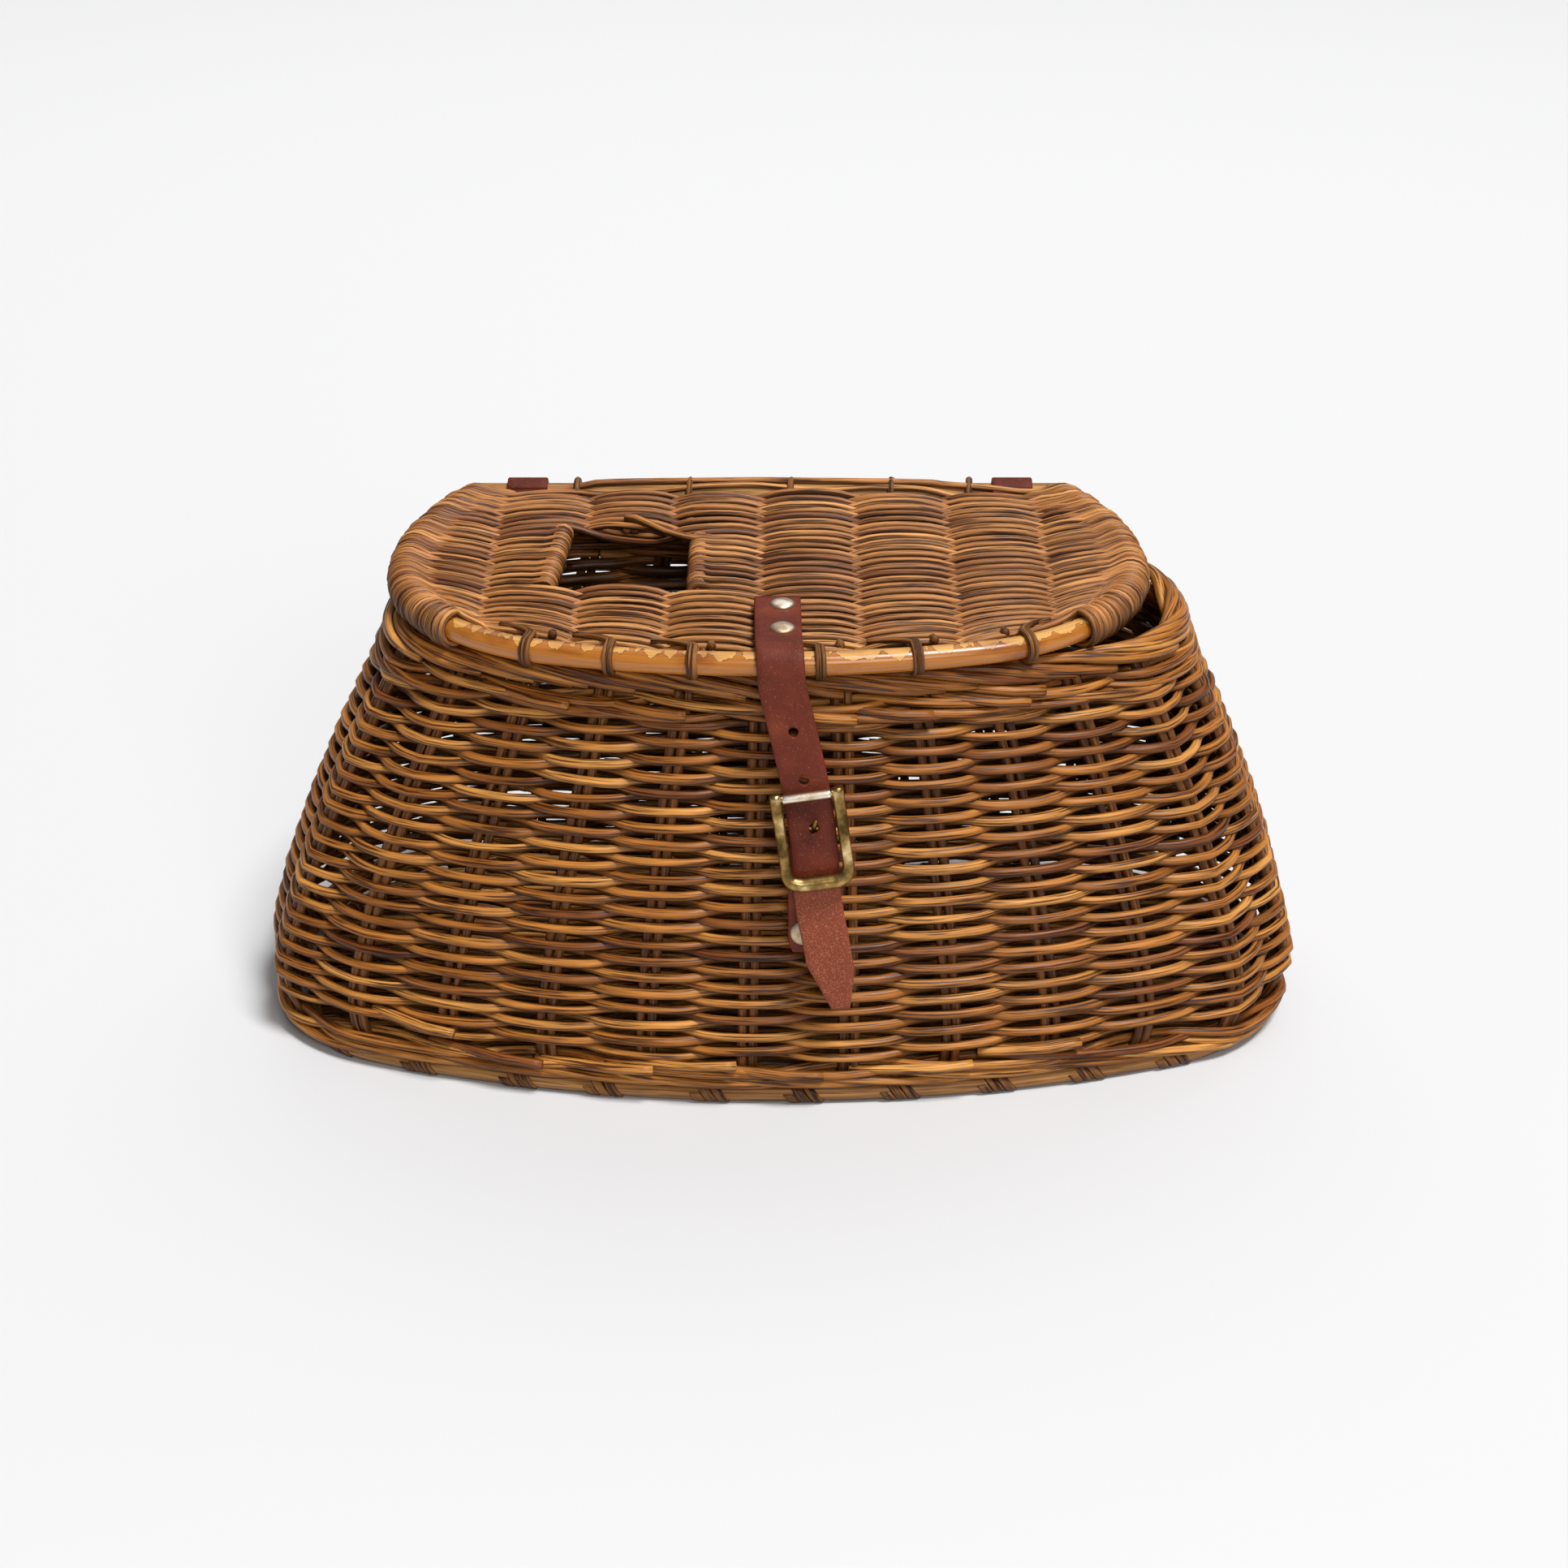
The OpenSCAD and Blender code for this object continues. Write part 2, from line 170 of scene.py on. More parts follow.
# wall point at a stake position x (stakes are at whole numbers), pulled straight between stakes
def wallPoint(z, x, out, straight=0.0):
    n = body["pairs"]
    o = wallOutline(z)
    cx = body["rimShift"] * rise(z)
    p = planPoint(o, (x + body["phase"]) / n, cx)
    px, py = p[0], p[1]
    if straight:
        a, b = math.floor(x), math.floor(x) + 1
        pa = planPoint(o, (a + body["phase"]) / n, cx)
        pb = planPoint(o, (b + body["phase"]) / n, cx)
        u = x - a
        px = mix(px, mix(pa[0], pb[0], u), straight)
        py = mix(py, mix(pa[1], pb[1], u), straight)
    return px + p[2] * out, py + p[3] * out, z


def unit(v):
    return v / (np.linalg.norm(v) + 1e-12)


# rings of a round rod along a path, carried along without twisting
def rodRings(path, radii, sides, grooves):
    p = np.asarray(path, float)
    t = np.gradient(p, axis=0)
    t /= np.linalg.norm(t, axis=1)[:, None] + 1e-12
    u = unit(np.cross(t[0], [0.1, 0.2, 1.0]) if abs(t[0][2]) < 0.9 else np.cross(t[0], [1.0, 0.1, 0]))
    angles = np.arange(sides) * 2 * math.pi / sides
    ca, sa = np.cos(angles)[:, None], np.sin(angles)[:, None]
    rings = np.empty((len(p), sides, 3))
    for i in range(len(p)):
        u = unit(u - t[i] * np.dot(u, t[i]))
        v = np.cross(t[i], u)
        rings[i] = p[i] + radii[i] * grooves * (ca * u + sa * v)
    return rings


# one mesh of many rods; each rod is (path, radii), in millimetres
def rodMesh(name, rods, sides, material, capRound=0.35, seed=1, groove=0.0):
    rng = random.Random(seed)
    verts, faces, uvs = [], [], []
    start = 0
    deep = []
    for path, radii, *rest in rods:
        p = np.asarray(path, float)
        n = len(p)
        inset = rest[0] if rest else [0.0] * n
        deep += [value for value in inset for _ in range(sides)] + [inset[0], inset[-1]]
        grooves = np.array([1 + rng.uniform(-groove, groove * 0.35) for _ in range(sides)])[:, None]
        rings = rodRings(p, radii, sides, grooves)
        steps = np.linalg.norm(np.diff(p, axis=0), axis=1)
        along = np.concatenate([[0], np.cumsum(steps)]) + rng.uniform(0, 4000)
        verts.append(rings.reshape(-1, 3))
        firstTip = p[0] - unit(p[1] - p[0]) * radii[0] * capRound
        lastTip = p[-1] + unit(p[-1] - p[-2]) * radii[-1] * capRound
        verts.append(np.array([firstTip, lastTip]))
        around = 2 * math.pi * float(np.mean(radii)) / sides
        for i in range(n - 1):
            a, b = start + i * sides, start + (i + 1) * sides
            for j in range(sides):
                k = (j + 1) % sides
                faces.append((a + j, a + k, b + k, b + j))
                u0, u1 = j * around, (j + 1) * around
                uvs += [u0, along[i], u1, along[i], u1, along[i + 1], u0, along[i + 1]]
        tip = start + n * sides
        for end, ring, flip in ((tip, start, True), (tip + 1, tip - sides, False)):
            v = along[0] if flip else along[-1]
            for j in range(sides):
                k = (j + 1) % sides
                faces.append((end, ring + k, ring + j) if flip else (end, ring + j, ring + k))
                uvs += [0, v, (j + 1) * around, v, j * around, v]
        start += n * sides + 2
    made = meshObject(name, np.concatenate(verts) * mm, faces, uvs, material)
    # deep is how far into the weave each ring lies; the rod material paints shade from it
    setPerVertex(made, "deep", deep)
    return made


# a number for every vertex, which a material can read
def setPerVertex(piece, name, values):
    layer = piece.data.attributes.new(name, "FLOAT", "POINT")
    layer.data.foreach_set("value", np.asarray(values, np.float32))


def meshObject(name, verts, faces, uvs, material, smooth=True):
    mesh = bpy.data.meshes.new(name)
    mesh.from_pydata(np.asarray(verts).tolist(), [], faces)
    if uvs is not None:
        layer = mesh.uv_layers.new(name="UVMap")
        layer.data.foreach_set("uv", np.asarray(uvs, np.float32) * mm)
    mesh.polygons.foreach_set("use_smooth", [smooth] * len(mesh.polygons))
    mesh.update()
    made = bpy.data.objects.new(name, mesh)
    bpy.context.scene.collection.objects.link(made)
    if material:
        mesh.materials.append(material)
    return made


# smooth random line through evenly spaced random values
def wander(rng, count, step, size):
    knots = [rng.uniform(-size, size) for _ in range(int(count / step) + 3)]
    xs = np.arange(count) / step
    i = np.floor(xs).astype(int)
    u = xs - i
    u = u * u * (3 - 2 * u)
    k = np.array(knots)
    return k[i] * (1 - u) + k[i + 1] * u


# round willow or reed rod: fine fibres run along it, no two rods are the same brown, and it has a dry
# satin skin; undersides and the parts deep in the weave are darkened with painted shade
def rodMaterial(name, look):
    made, tree = newMaterial(name)
    uv = addNode(tree, "ShaderNodeTexCoord")
    # fibres about 0.8 mm apart, a few centimetres long: coarser than real ones, so that they show
    fibres = addNode(tree, "ShaderNodeMapping",
                     {"Vector": (uv, "UV"), "Scale": (look["fibre"], look["fibre"] * 0.03, 1)})
    fibreNoise = addNode(tree, "ShaderNodeTexNoise",
                         {"Vector": (fibres, "Vector"), "Scale": 1.0, "Detail": 3.0, "Roughness": 0.6})
    # stains 15 mm across the rod and 110 mm along it
    patches = addNode(tree, "ShaderNodeMapping", {"Vector": (uv, "UV"), "Scale": (60, 9, 1)})
    patchNoise = addNode(tree, "ShaderNodeTexNoise",
                         {"Vector": (patches, "Vector"), "Scale": 1.0, "Detail": 4.0, "Roughness": 0.62})
    # each rod's own brown, which changes over about 400 mm
    rod = addNode(tree, "ShaderNodeMapping", {"Vector": (uv, "UV"), "Scale": (0.0, 2.6, 1)})
    rodNoise = addNode(tree, "ShaderNodeTexNoise", {"Vector": (rod, "Vector"), "Scale": 1.0, "Detail": 1.0})
    tone = addNode(tree, "ShaderNodeValToRGB", {"Fac": (rodNoise, "Fac")},
                   [(0.32, hexColour(look["dark"])), (0.5, hexColour(look["mid"])),
                    (0.68, hexColour(look["light"]))])
    shade = addNode(tree, "ShaderNodeValToRGB", {"Fac": (patchNoise, "Fac")},
                    [(0.3, hexColour(look["shade"])), (0.55, (1, 1, 1, 1)), (0.75, (1.12, 1.1, 1.06, 1))])
    toned = addNode(tree, "ShaderNodeMix", {0: 0.75, 6: (tone, "Color"), 7: (shade, "Color")},
                    data_type="RGBA", blend_type="MULTIPLY")
    lines = addNode(tree, "ShaderNodeValToRGB", {"Fac": (fibreNoise, "Fac")},
                    [(0.4, (0.16, 0.11, 0.07, 1)), (0.49, (0.84, 0.81, 0.77, 1)),
                     (0.62, (1.25, 1.22, 1.16, 1))])
    lined = addNode(tree, "ShaderNodeMix", {0: look["lines"], 6: (toned, 2), 7: (lines, "Color")},
                    data_type="RGBA", blend_type="MULTIPLY")
    # painted shade: faces that point down are darkened, down to the look's underside factor at the bottom of
    # the rod
    facing = addNode(tree, "ShaderNodeSeparateXYZ", {"Vector": (uv, "Normal")})
    under = addNode(tree, "ShaderNodeMapRange",
                    {"Value": (facing, "Z"), "From Min": look["top"] - 0.9, "From Max": look["top"],
                     "To Min": look["under"], "To Max": 1.0})
    # painted shade: rod parts deep in the weave, behind the stakes, are darkened to about a third
    deepness = addNode(tree, "ShaderNodeAttribute", attribute_name="deep")
    recessShade = addNode(tree, "ShaderNodeMapRange",
                   {"Value": (deepness, "Fac"), "From Min": 0.25, "From Max": 1.0, "To Min": 1.0,
                    "To Max": 0.32})
    paintedShade = addNode(tree, "ShaderNodeMath", {0: (under, "Result"), 1: (recessShade, "Result")}, operation="MULTIPLY")
    darkened = addNode(tree, "ShaderNodeVectorMath", {"Vector": (lined, 2), "Scale": (paintedShade, "Value")},
                   operation="SCALE")
    rough = addNode(tree, "ShaderNodeMapRange",
                    {"Value": (patchNoise, "Fac"), "From Min": 0.3, "From Max": 0.7,
                     "To Min": look["rough"] - 0.1, "To Max": look["rough"] + 0.12})
    bump = addNode(tree, "ShaderNodeBump",
                   {"Height": (fibreNoise, "Fac"), "Strength": 0.5, "Distance": 0.0003})
    shader = addNode(tree, "ShaderNodeBsdfPrincipled",
                     {"Base Color": (darkened, "Vector"), "Roughness": (rough, "Result"),
                      "Specular IOR Level": 0.3})
    finishMaterial(tree, shader, bump)
    return made


# In each look, the underside value is how dark the painted shade makes faces that point down, and top is the
# normal height from which no shade is painted.
bodyLook = dict(dark="#8a5022", mid="#ba7832", light="#e2a254", shade="#a07848", fibre=1200, lines=1.0,
                rough=0.4, under=0.5, top=0.35)
lidLook = dict(dark="#905830", mid="#c08248", light="#e6a664", shade="#987050", fibre=1250, lines=1.0,
               rough=0.45, under=0.32, top=0.8)
# the stakes' willow is coloured darker than the weave's rods, as painted shade for the stakes that stand back
# in the weave
stakeLook = dict(dark="#5c3516", mid="#7c4c20", light="#966029", shade="#86683f", fibre=1200, lines=0.9,
                 rough=0.42, under=0.7, top=0.35)
hoopLook = dict(dark="#9c6a36", mid="#b88248", light="#cf9c5c", shade="#b09878", fibre=1100, lines=0.6,
                rough=0.36, under=0.5, top=0.35)
tieLook = dict(dark="#643e1c", mid="#84562a", light="#a06c38", shade="#9a8060", fibre=1200, lines=1.0,
               rough=0.42, under=0.5, top=0.35)
bodyRods = rodMaterial("dry willow rods", bodyLook)
lidRods = rodMaterial("thin willow strands", lidLook)
stakeRods = rodMaterial("dark willow stakes", stakeLook)
hoopCane = rodMaterial("smooth base cane", hoopLook)
tieRods = rodMaterial("willow ties", tieLook)


# thick honey cane under old varnish: glossy, with a torn pale edge along the top where it has flaked
def caneMaterial():
    look = dict(bare="#e2a654", varnish="#be762c", edge="#6e3a12", stain="#9a6434", flakeFrom=1.82,
                edgeFrom=1.77)
    made, tree = newMaterial("varnished cane")
    uv = addNode(tree, "ShaderNodeTexCoord")
    geometry = addNode(tree, "ShaderNodeNewGeometry")
    normal = addNode(tree, "ShaderNodeSeparateXYZ", {"Vector": (geometry, "Normal")})
    # flakes about 4 mm long, with a ragged line of 1.6 mm teeth
    alongMap = addNode(tree, "ShaderNodeMapping", {"Vector": (uv, "UV"), "Scale": (0.0, 230, 1)})
    zig = addNode(tree, "ShaderNodeTexVoronoi",
                  {"Vector": (alongMap, "Vector"), "Scale": 1.0, "Randomness": 1.0},
                  voronoi_dimensions="2D", distance="EUCLIDEAN")
    jag = addNode(tree, "ShaderNodeMapping", {"Vector": (uv, "UV"), "Scale": (600, 620, 1)})
    jagNoise = addNode(tree, "ShaderNodeTexNoise", {"Vector": (jag, "Vector"), "Scale": 1.0, "Detail": 2.0})
    teeth = addNode(tree, "ShaderNodeMath", {0: (jagNoise, "Fac"), 1: 0.5, 2: (zig, "Distance")},
                    operation="MULTIPLY_ADD")
    level = addNode(tree, "ShaderNodeMath", {0: (normal, "Z"), 1: 1.35, 2: (teeth, "Value")},
                    operation="MULTIPLY_ADD")
    mask = addNode(tree, "ShaderNodeMapRange",
                   {"Value": (level, "Value"), "From Min": look["flakeFrom"],
                    "From Max": look["flakeFrom"] + 0.02})
    edgeBand = addNode(tree, "ShaderNodeMapRange",
                       {"Value": (level, "Value"), "From Min": look["edgeFrom"],
                        "From Max": look["edgeFrom"] + 0.04})
    fibreMap = addNode(tree, "ShaderNodeMapping", {"Vector": (uv, "UV"), "Scale": (1500, 30, 1)})
    fibre = addNode(tree, "ShaderNodeTexNoise", {"Vector": (fibreMap, "Vector"), "Scale": 1.0, "Detail": 3.0})
    stainMap = addNode(tree, "ShaderNodeMapping", {"Vector": (uv, "UV"), "Scale": (120, 40, 1)})
    stain = addNode(tree, "ShaderNodeTexNoise", {"Vector": (stainMap, "Vector"), "Scale": 1.0, "Detail": 4.0})
    base = addNode(tree, "ShaderNodeMix",
                   {0: (mask, "Result"), 6: hexColour(look["varnish"]), 7: hexColour(look["bare"])},
                   data_type="RGBA")
    edge = addNode(tree, "ShaderNodeMath", {0: (edgeBand, "Result"), 1: (mask, "Result")},
                   operation="SUBTRACT")
    edged = addNode(tree, "ShaderNodeMix", {0: (edge, 0), 6: (base, 2), 7: hexColour(look["edge"])},
                    data_type="RGBA")
    lines = addNode(tree, "ShaderNodeValToRGB", {"Fac": (fibre, "Fac")},
                    [(0.3, (0.7, 0.66, 0.6, 1)), (0.55, (1, 1, 1, 1))])
    lined = addNode(tree, "ShaderNodeMix", {0: 0.8, 6: (edged, 2), 7: (lines, "Color")},
                    data_type="RGBA", blend_type="MULTIPLY")
    spots = addNode(tree, "ShaderNodeValToRGB", {"Fac": (stain, "Fac")},
                    [(0.34, hexColour(look["stain"])), (0.5, (1, 1, 1, 1))])
    spotted = addNode(tree, "ShaderNodeMix", {0: 0.6, 6: (lined, 2), 7: (spots, "Color")},
                      data_type="RGBA", blend_type="MULTIPLY")
    rough = addNode(tree, "ShaderNodeMapRange", {"Value": (mask, "Result"), "To Min": 0.24, "To Max": 0.42})
    bump = addNode(tree, "ShaderNodeBump",
                   {"Height": (mask, "Result"), "Strength": 0.35, "Distance": -0.0002})
    shader = addNode(tree, "ShaderNodeBsdfPrincipled",
                     {"Base Color": (spotted, 2), "Roughness": (rough, "Result"), "Coat Weight": 0.2,
                      "Coat Roughness": 0.25})
    finishMaterial(tree, shader, bump)
    return made


# vegetable-tanned oxblood strap leather: matte, fine grain, rubbed lighter in places, with dark scuffs
# and a tail that is paler and full of pale specks: the specks are wear, and the paler colour is partly
# scuffing and partly painted light
def leatherMaterial():
    look = dict(deep="#541c0d", mid="#6e2a16", rubbed="#863c22", scuff="#30120a", speck="#b67a58",
                tail="#8e4229")
    made, tree = newMaterial("oxblood leather")
    place = addNode(tree, "ShaderNodeTexCoord")
    # rubbed patches 26 mm across, scuffs 7 mm, grain 0.7 mm and specks 0.5 mm
    wide = addNode(tree, "ShaderNodeTexNoise",
                   {"Vector": (place, "Object"), "Scale": 38.0, "Detail": 5.0, "Roughness": 0.6})
    scuffs = addNode(tree, "ShaderNodeTexNoise",
                     {"Vector": (place, "Object"), "Scale": 150.0, "Detail": 6.0, "Roughness": 0.7})
    grain = addNode(tree, "ShaderNodeTexVoronoi", {"Vector": (place, "Object"), "Scale": 1500.0})
    tone = addNode(tree, "ShaderNodeValToRGB", {"Fac": (wide, "Fac")},
                   [(0.34, hexColour(look["deep"])), (0.52, hexColour(look["mid"])),
                    (0.7, hexColour(look["rubbed"]))])
    # the tail's paler colour: partly scuffing, partly painted light
    towardTail = addNode(tree, "ShaderNodeAttribute", attribute_name="rubbed")
    tailPaleMask = addNode(tree, "ShaderNodeMapRange", {"Value": (towardTail, "Fac"), "To Max": 0.75})
    paled = addNode(tree, "ShaderNodeMix",
                    {0: (tailPaleMask, "Result"), 6: (tone, "Color"), 7: hexColour(look["tail"])},
                    data_type="RGBA")
    dark = addNode(tree, "ShaderNodeMapRange", {"Value": (scuffs, "Fac"), "From Min": 0.66, "From Max": 0.74})
    marked = addNode(tree, "ShaderNodeMix", {0: (dark, "Result"), 6: (paled, 2), 7: hexColour(look["scuff"])},
                     data_type="RGBA")
    specks = addNode(tree, "ShaderNodeTexNoise",
                     {"Vector": (place, "Object"), "Scale": 1900.0, "Detail": 2.0})
    fewer = addNode(tree, "ShaderNodeMath", {0: (towardTail, "Fac"), 1: 0.11, 2: (specks, "Fac")},
                    operation="MULTIPLY_ADD")
    speckMask = addNode(tree, "ShaderNodeMapRange",
                        {"Value": (fewer, "Value"), "From Min": 0.62, "From Max": 0.78, "To Max": 0.6})
    specked = addNode(tree, "ShaderNodeMix",
                      {0: (speckMask, "Result"), 6: (marked, 2), 7: hexColour(look["speck"])},
                      data_type="RGBA")
    rough = addNode(tree, "ShaderNodeMapRange",
                    {"Value": (wide, "Fac"), "From Min": 0.3, "From Max": 0.7, "To Min": 0.66, "To Max": 0.5})
    fine = addNode(tree, "ShaderNodeBump",
                   {"Height": (grain, "Distance"), "Strength": 0.35, "Distance": 0.0002})
    bump = addNode(tree, "ShaderNodeBump",
                   {"Height": (scuffs, "Fac"), "Normal": (fine, "Normal"), "Strength": 0.4,
                    "Distance": 0.0003})
    shader = addNode(tree, "ShaderNodeBsdfPrincipled",
                     {"Base Color": (specked, 2), "Roughness": (rough, "Result"), "Specular IOR Level": 0.28})
    finishMaterial(tree, shader, bump)
    return made


# worn metal: brown tarnish in the hollows over a brighter rubbed metal, in patches 8 mm across
def metalMaterial(name, look):
    made, tree = newMaterial(name)
    place = addNode(tree, "ShaderNodeTexCoord")
    wear = addNode(tree, "ShaderNodeTexNoise",
                   {"Vector": (place, "Object"), "Scale": 120.0, "Detail": 5.0, "Roughness": 0.6})
    fine = addNode(tree, "ShaderNodeTexNoise", {"Vector": (place, "Object"), "Scale": 1400.0, "Detail": 3.0})
    tone = addNode(tree, "ShaderNodeValToRGB", {"Fac": (wear, "Fac")},
                   [(0.36, hexColour(look["tarnish"])), (0.52, hexColour(look["mid"])),
                    (0.66, hexColour(look["bright"]))])
    rough = addNode(tree, "ShaderNodeMapRange",
                    {"Value": (wear, "Fac"), "From Min": 0.35, "From Max": 0.65,
                     "To Min": look["rough"] + 0.15, "To Max": look["rough"] - 0.08})
    bump = addNode(tree, "ShaderNodeBump", {"Height": (fine, "Fac"), "Strength": 0.25, "Distance": 0.0001})
    shader = addNode(tree, "ShaderNodeBsdfPrincipled",
                     {"Base Color": (tone, "Color"), "Metallic": 1.0, "Roughness": (rough, "Result")})
    finishMaterial(tree, shader, bump)
    return made


cane = caneMaterial()
leather = leatherMaterial()
brass = metalMaterial("aged brass", dict(tarnish="#5c4826", mid="#a4844c", bright="#ecd098", rough=0.34))
nickel = metalMaterial("worn nickel plate",
                       dict(tarnish="#c0a684", mid="#f0e0c8", bright="#fffaf0", rough=0.38))
print("stage: materials made")


# one rod in front of a stake and behind the next, flat over the stake and quick between
def randing(x, row, depth):
    w = math.cos(math.pi * (x + row))
    return depth * math.tanh(1.7 * w) / math.tanh(1.7)


sideWeave = dict(low=17.4, high=136.6, pitch=2.98, rod=1.74, perStake=10,
                 sides=12, depth=2.2, straight=0.8, perRow=3, pastStake=0.32, thickerBack=0.3,
                 drift=0.5, groove=0.1)


# rows of rods, one above another, that change sides at every stake
def sideRows():
    s = sideWeave
    rng = random.Random(11)
    count = int(round((s["high"] - s["low"]) / s["pitch"])) + 1
    n = body["pairs"]
    rows = []
    for k in range(count):
        z0 = s["low"] + k * s["pitch"]
        level = wander(rng, n * s["perStake"] * 2, s["perStake"] * 0.9, s["drift"])
        first = rng.randrange(n)
        rods = []
        for part in range(s["perRow"]):
            a = first + round(part * n / s["perRow"])
            b = first + round((part + 1) * n / s["perRow"])
            if (a + k) % 2 == 0:
                a += 1
            if (b + k) % 2 == 0:
                b += 1
            b += s["pastStake"]
            a -= s["pastStake"]
            steps = max(8, int((b - a) * s["perStake"]))
            thick = s["rod"] * rng.uniform(0.9, 1.08)
            path, radii, inset = [], [], []
            for i in range(steps + 1):
                u = i / steps
                x = mix(a, b, u)
                dz = level[int((x % n) * s["perStake"])]
                tuck = 1.0 if 0.02 < u < 0.98 else 1.12
                out = randing(x, k, s["depth"]) * tuck
                path.append(wallPoint(z0 + dz, x, out, s["straight"]))
                # how far the rod lies behind the stakes, for the painted shade deep in the weave
                inset.append(min(1, max(0, 0.5 - 0.5 * out / s["depth"])) ** 1.2)
                back = 1 + s["thickerBack"] * max(0, math.cos(2 * math.pi * (x + body["phase"]) / n))
                radii.append(thick * back * (1.1 - 0.22 * u))
            rods.append((path, radii, inset))
        rows.append(rods)
    return rows


rows = sideRows()
for part, name in enumerate(("low", "middle", "high")):
    some = rows[part * len(rows) // 3:(part + 1) * len(rows) // 3]
    piece = rodMesh(f"side_weave_{name}", [rod for row in some for rod in row], sideWeave["sides"], bodyRods,
                    seed=21 + part, groove=sideWeave["groove"])
    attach(piece, "basket")
    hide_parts("side_weave")
print("stage: side weave", len(rows), "rows")

# paired stakes inside the weave
stakes = dict(low=3.5, high=150, gap=1.9, rod=1.8, steps=26)
rng = random.Random(5)
stakeRodsList = []
for i in range(body["pairs"]):
    for side in (-1, 1):
        drift = wander(rng, stakes["steps"] + 1, 6, 0.35)
        path = []
        for j in range(stakes["steps"] + 1):
            z = mix(stakes["low"], stakes["high"], j / stakes["steps"])
            perimeter = 2 * sum(legs(wallOutline(z)))
            x = i + (side * stakes["gap"] + drift[j]) / perimeter * body["pairs"]
            path.append(wallPoint(z, x, 0))
        stakeRodsList.append((path, [stakes["rod"]] * len(path)))
stakePiece = rodMesh("body_stakes", stakeRodsList, 10, stakeRods, seed=24, groove=0.1)
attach(stakePiece, "basket")
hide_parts("side_stakes")


# three rods that each go in front of two stakes and behind one, turning like a rope
def waleRods(rng, wale):
    n = body["pairs"]
    rod = wale["rod"]
    made = []
    for row in range(wale["rows"]):
        for strand in range(3):
            first = rng.randrange(n) * 1.0
            start = first - (first - strand) % 3
            for part in range(2):
                a = start + part * 12 + 0.12
                b = a + 12 + (2 if part else 0) - 0.05
                count = int((b - a) * wale["steps"])
                thick = rod * rng.uniform(0.94, 1.07)
                path, radii = [], []
                for i in range(count + 1):
                    x = mix(a, b, i / count)
                    phase = (x - strand) % 3
                    w = math.cos(2 * math.pi * (phase - 1.5) / 3)
                    out = wale["depth"] * math.tanh(1.5 * (w + 0.45))
                    z = wale["z"] + row * rod * 2.15 + wale["lift"] * math.cos(2 * math.pi * phase / 3 + 0.9)
                    point = wallPoint(z, x, out, 0.3)
                    low = min(1, max(0, (abs(point[0]) - 95) / 70))
                    path.append((point[0], point[1], z - wale["sink"] * low * low))
                    radii.append(thick * (1.06 - 0.14 * i / count))
                made.append((path, radii))
    return made


# short cut ends that come out between the rods, each at an x in front, a height, a run and a rise
def tailRods(places, rod, steps=12):
    made = []
    for x, z, run, climb in places:
        outline = wallOutline(z)
        shift = body["rimShift"] * rise(z)
        best = min((i / 800 for i in range(300, 500)), key=lambda f: abs(planPoint(outline, f, shift)[0] - x))
        at = best * body["pairs"] - body["phase"]
        path = []
        for i in range(steps + 1):
            u = i / steps
            out = mix(0.5, 5.2, min(1, u * 1.5))
            path.append(wallPoint(z + climb * (u - 1), at + run * (1 - u), out, 0.3))
        made.append((path, [rod] * steps + [rod * 0.98]))
    return made


footTails = [(-15, 16.5, 1.3, 2.5), (-43, 13.5, 1.2, 1.5), (15, 12, 1.1, -1.5), (-118, 20, 0.9, -2),
             (66, 14, 1.2, 2), (104, 18, 1.0, 2), (-82, 12, 1.2, -2)]
rimTails = [(-31, 141.5, 1.2, -2), (25.6, 140.5, 1.3, -2.5), (51, 141, 1.2, -2), (83, 142.5, 1.2, -3),
            (99, 145.5, 1.2, -3), (-70, 142, 1.2, -2)]
tailPiece = rodMesh("rod_tails", tailRods(footTails, 1.85) + tailRods(rimTails, 1.95), 12, bodyRods,
                    capRound=0.12, seed=35, groove=0.08)
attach(tailPiece, "basket")

# the foot's first rows, which sink towards the ends, and the rows under the rim
upset = dict(z=8.6, rod=1.75, depth=3.4, lift=1.15, steps=9, rows=2, sink=3.6)
rng = random.Random(31)
upsetPiece = rodMesh("upset_wale_rods", waleRods(rng, upset), 12, bodyRods, seed=32, groove=0.1)
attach(upsetPiece, "basket")
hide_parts("upset_wale")

rimWale = dict(z=140.4, rod=1.72, depth=3.2, lift=1.0, steps=9, rows=2, sink=0.0)
rimPiece = rodMesh("rim_wale_rods", waleRods(rng, rimWale), 12, bodyRods, seed=33, groove=0.1)
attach(rimPiece, "basket")
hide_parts("rim_wale")

# rolled border: every pair of stakes lies down over the rim and ends as a cut rod at the outside
border = dict(z=150.6, rod=1.95, ring=3.5, span=3.5, steps=34)
rng = random.Random(41)
borderRods = []
for i in range(body["pairs"]):
    for side in (0, 1):
        span = border["span"] + rng.uniform(-0.5, 0.6)
        jitter = rng.uniform(-0.12, 0.12)
        path, radii = [], []
        for j in range(border["steps"] + 1):
            u = j / border["steps"]
            x = i - side * 0.13 + jitter * 0.3 - span * u
            f = (x + body["phase"]) / body["pairs"]
            p = planPoint(borderOutline, f, 2.5)
            turn = math.radians(mix(-118, -392, u ** 0.85) - side * 10 + jitter * 25)
            ring = border["ring"] * (1 + 0.12 * math.sin(3 * turn + i))
            out = -ring * math.cos(turn + math.pi)
            up = -ring * math.sin(turn + math.pi)
            path.append((p[0] + p[2] * out, p[1] + p[3] * out, border["z"] + up))
            radii.append(border["rod"] * (1.08 - 0.16 * u))
        borderRods.append((path, radii))
borderPiece = rodMesh("rolled_border", borderRods, 12, bodyRods, capRound=0.1, seed=42, groove=0.1)
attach(borderPiece, "basket")
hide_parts("rim_border")
print("stage: stakes, wales and border")

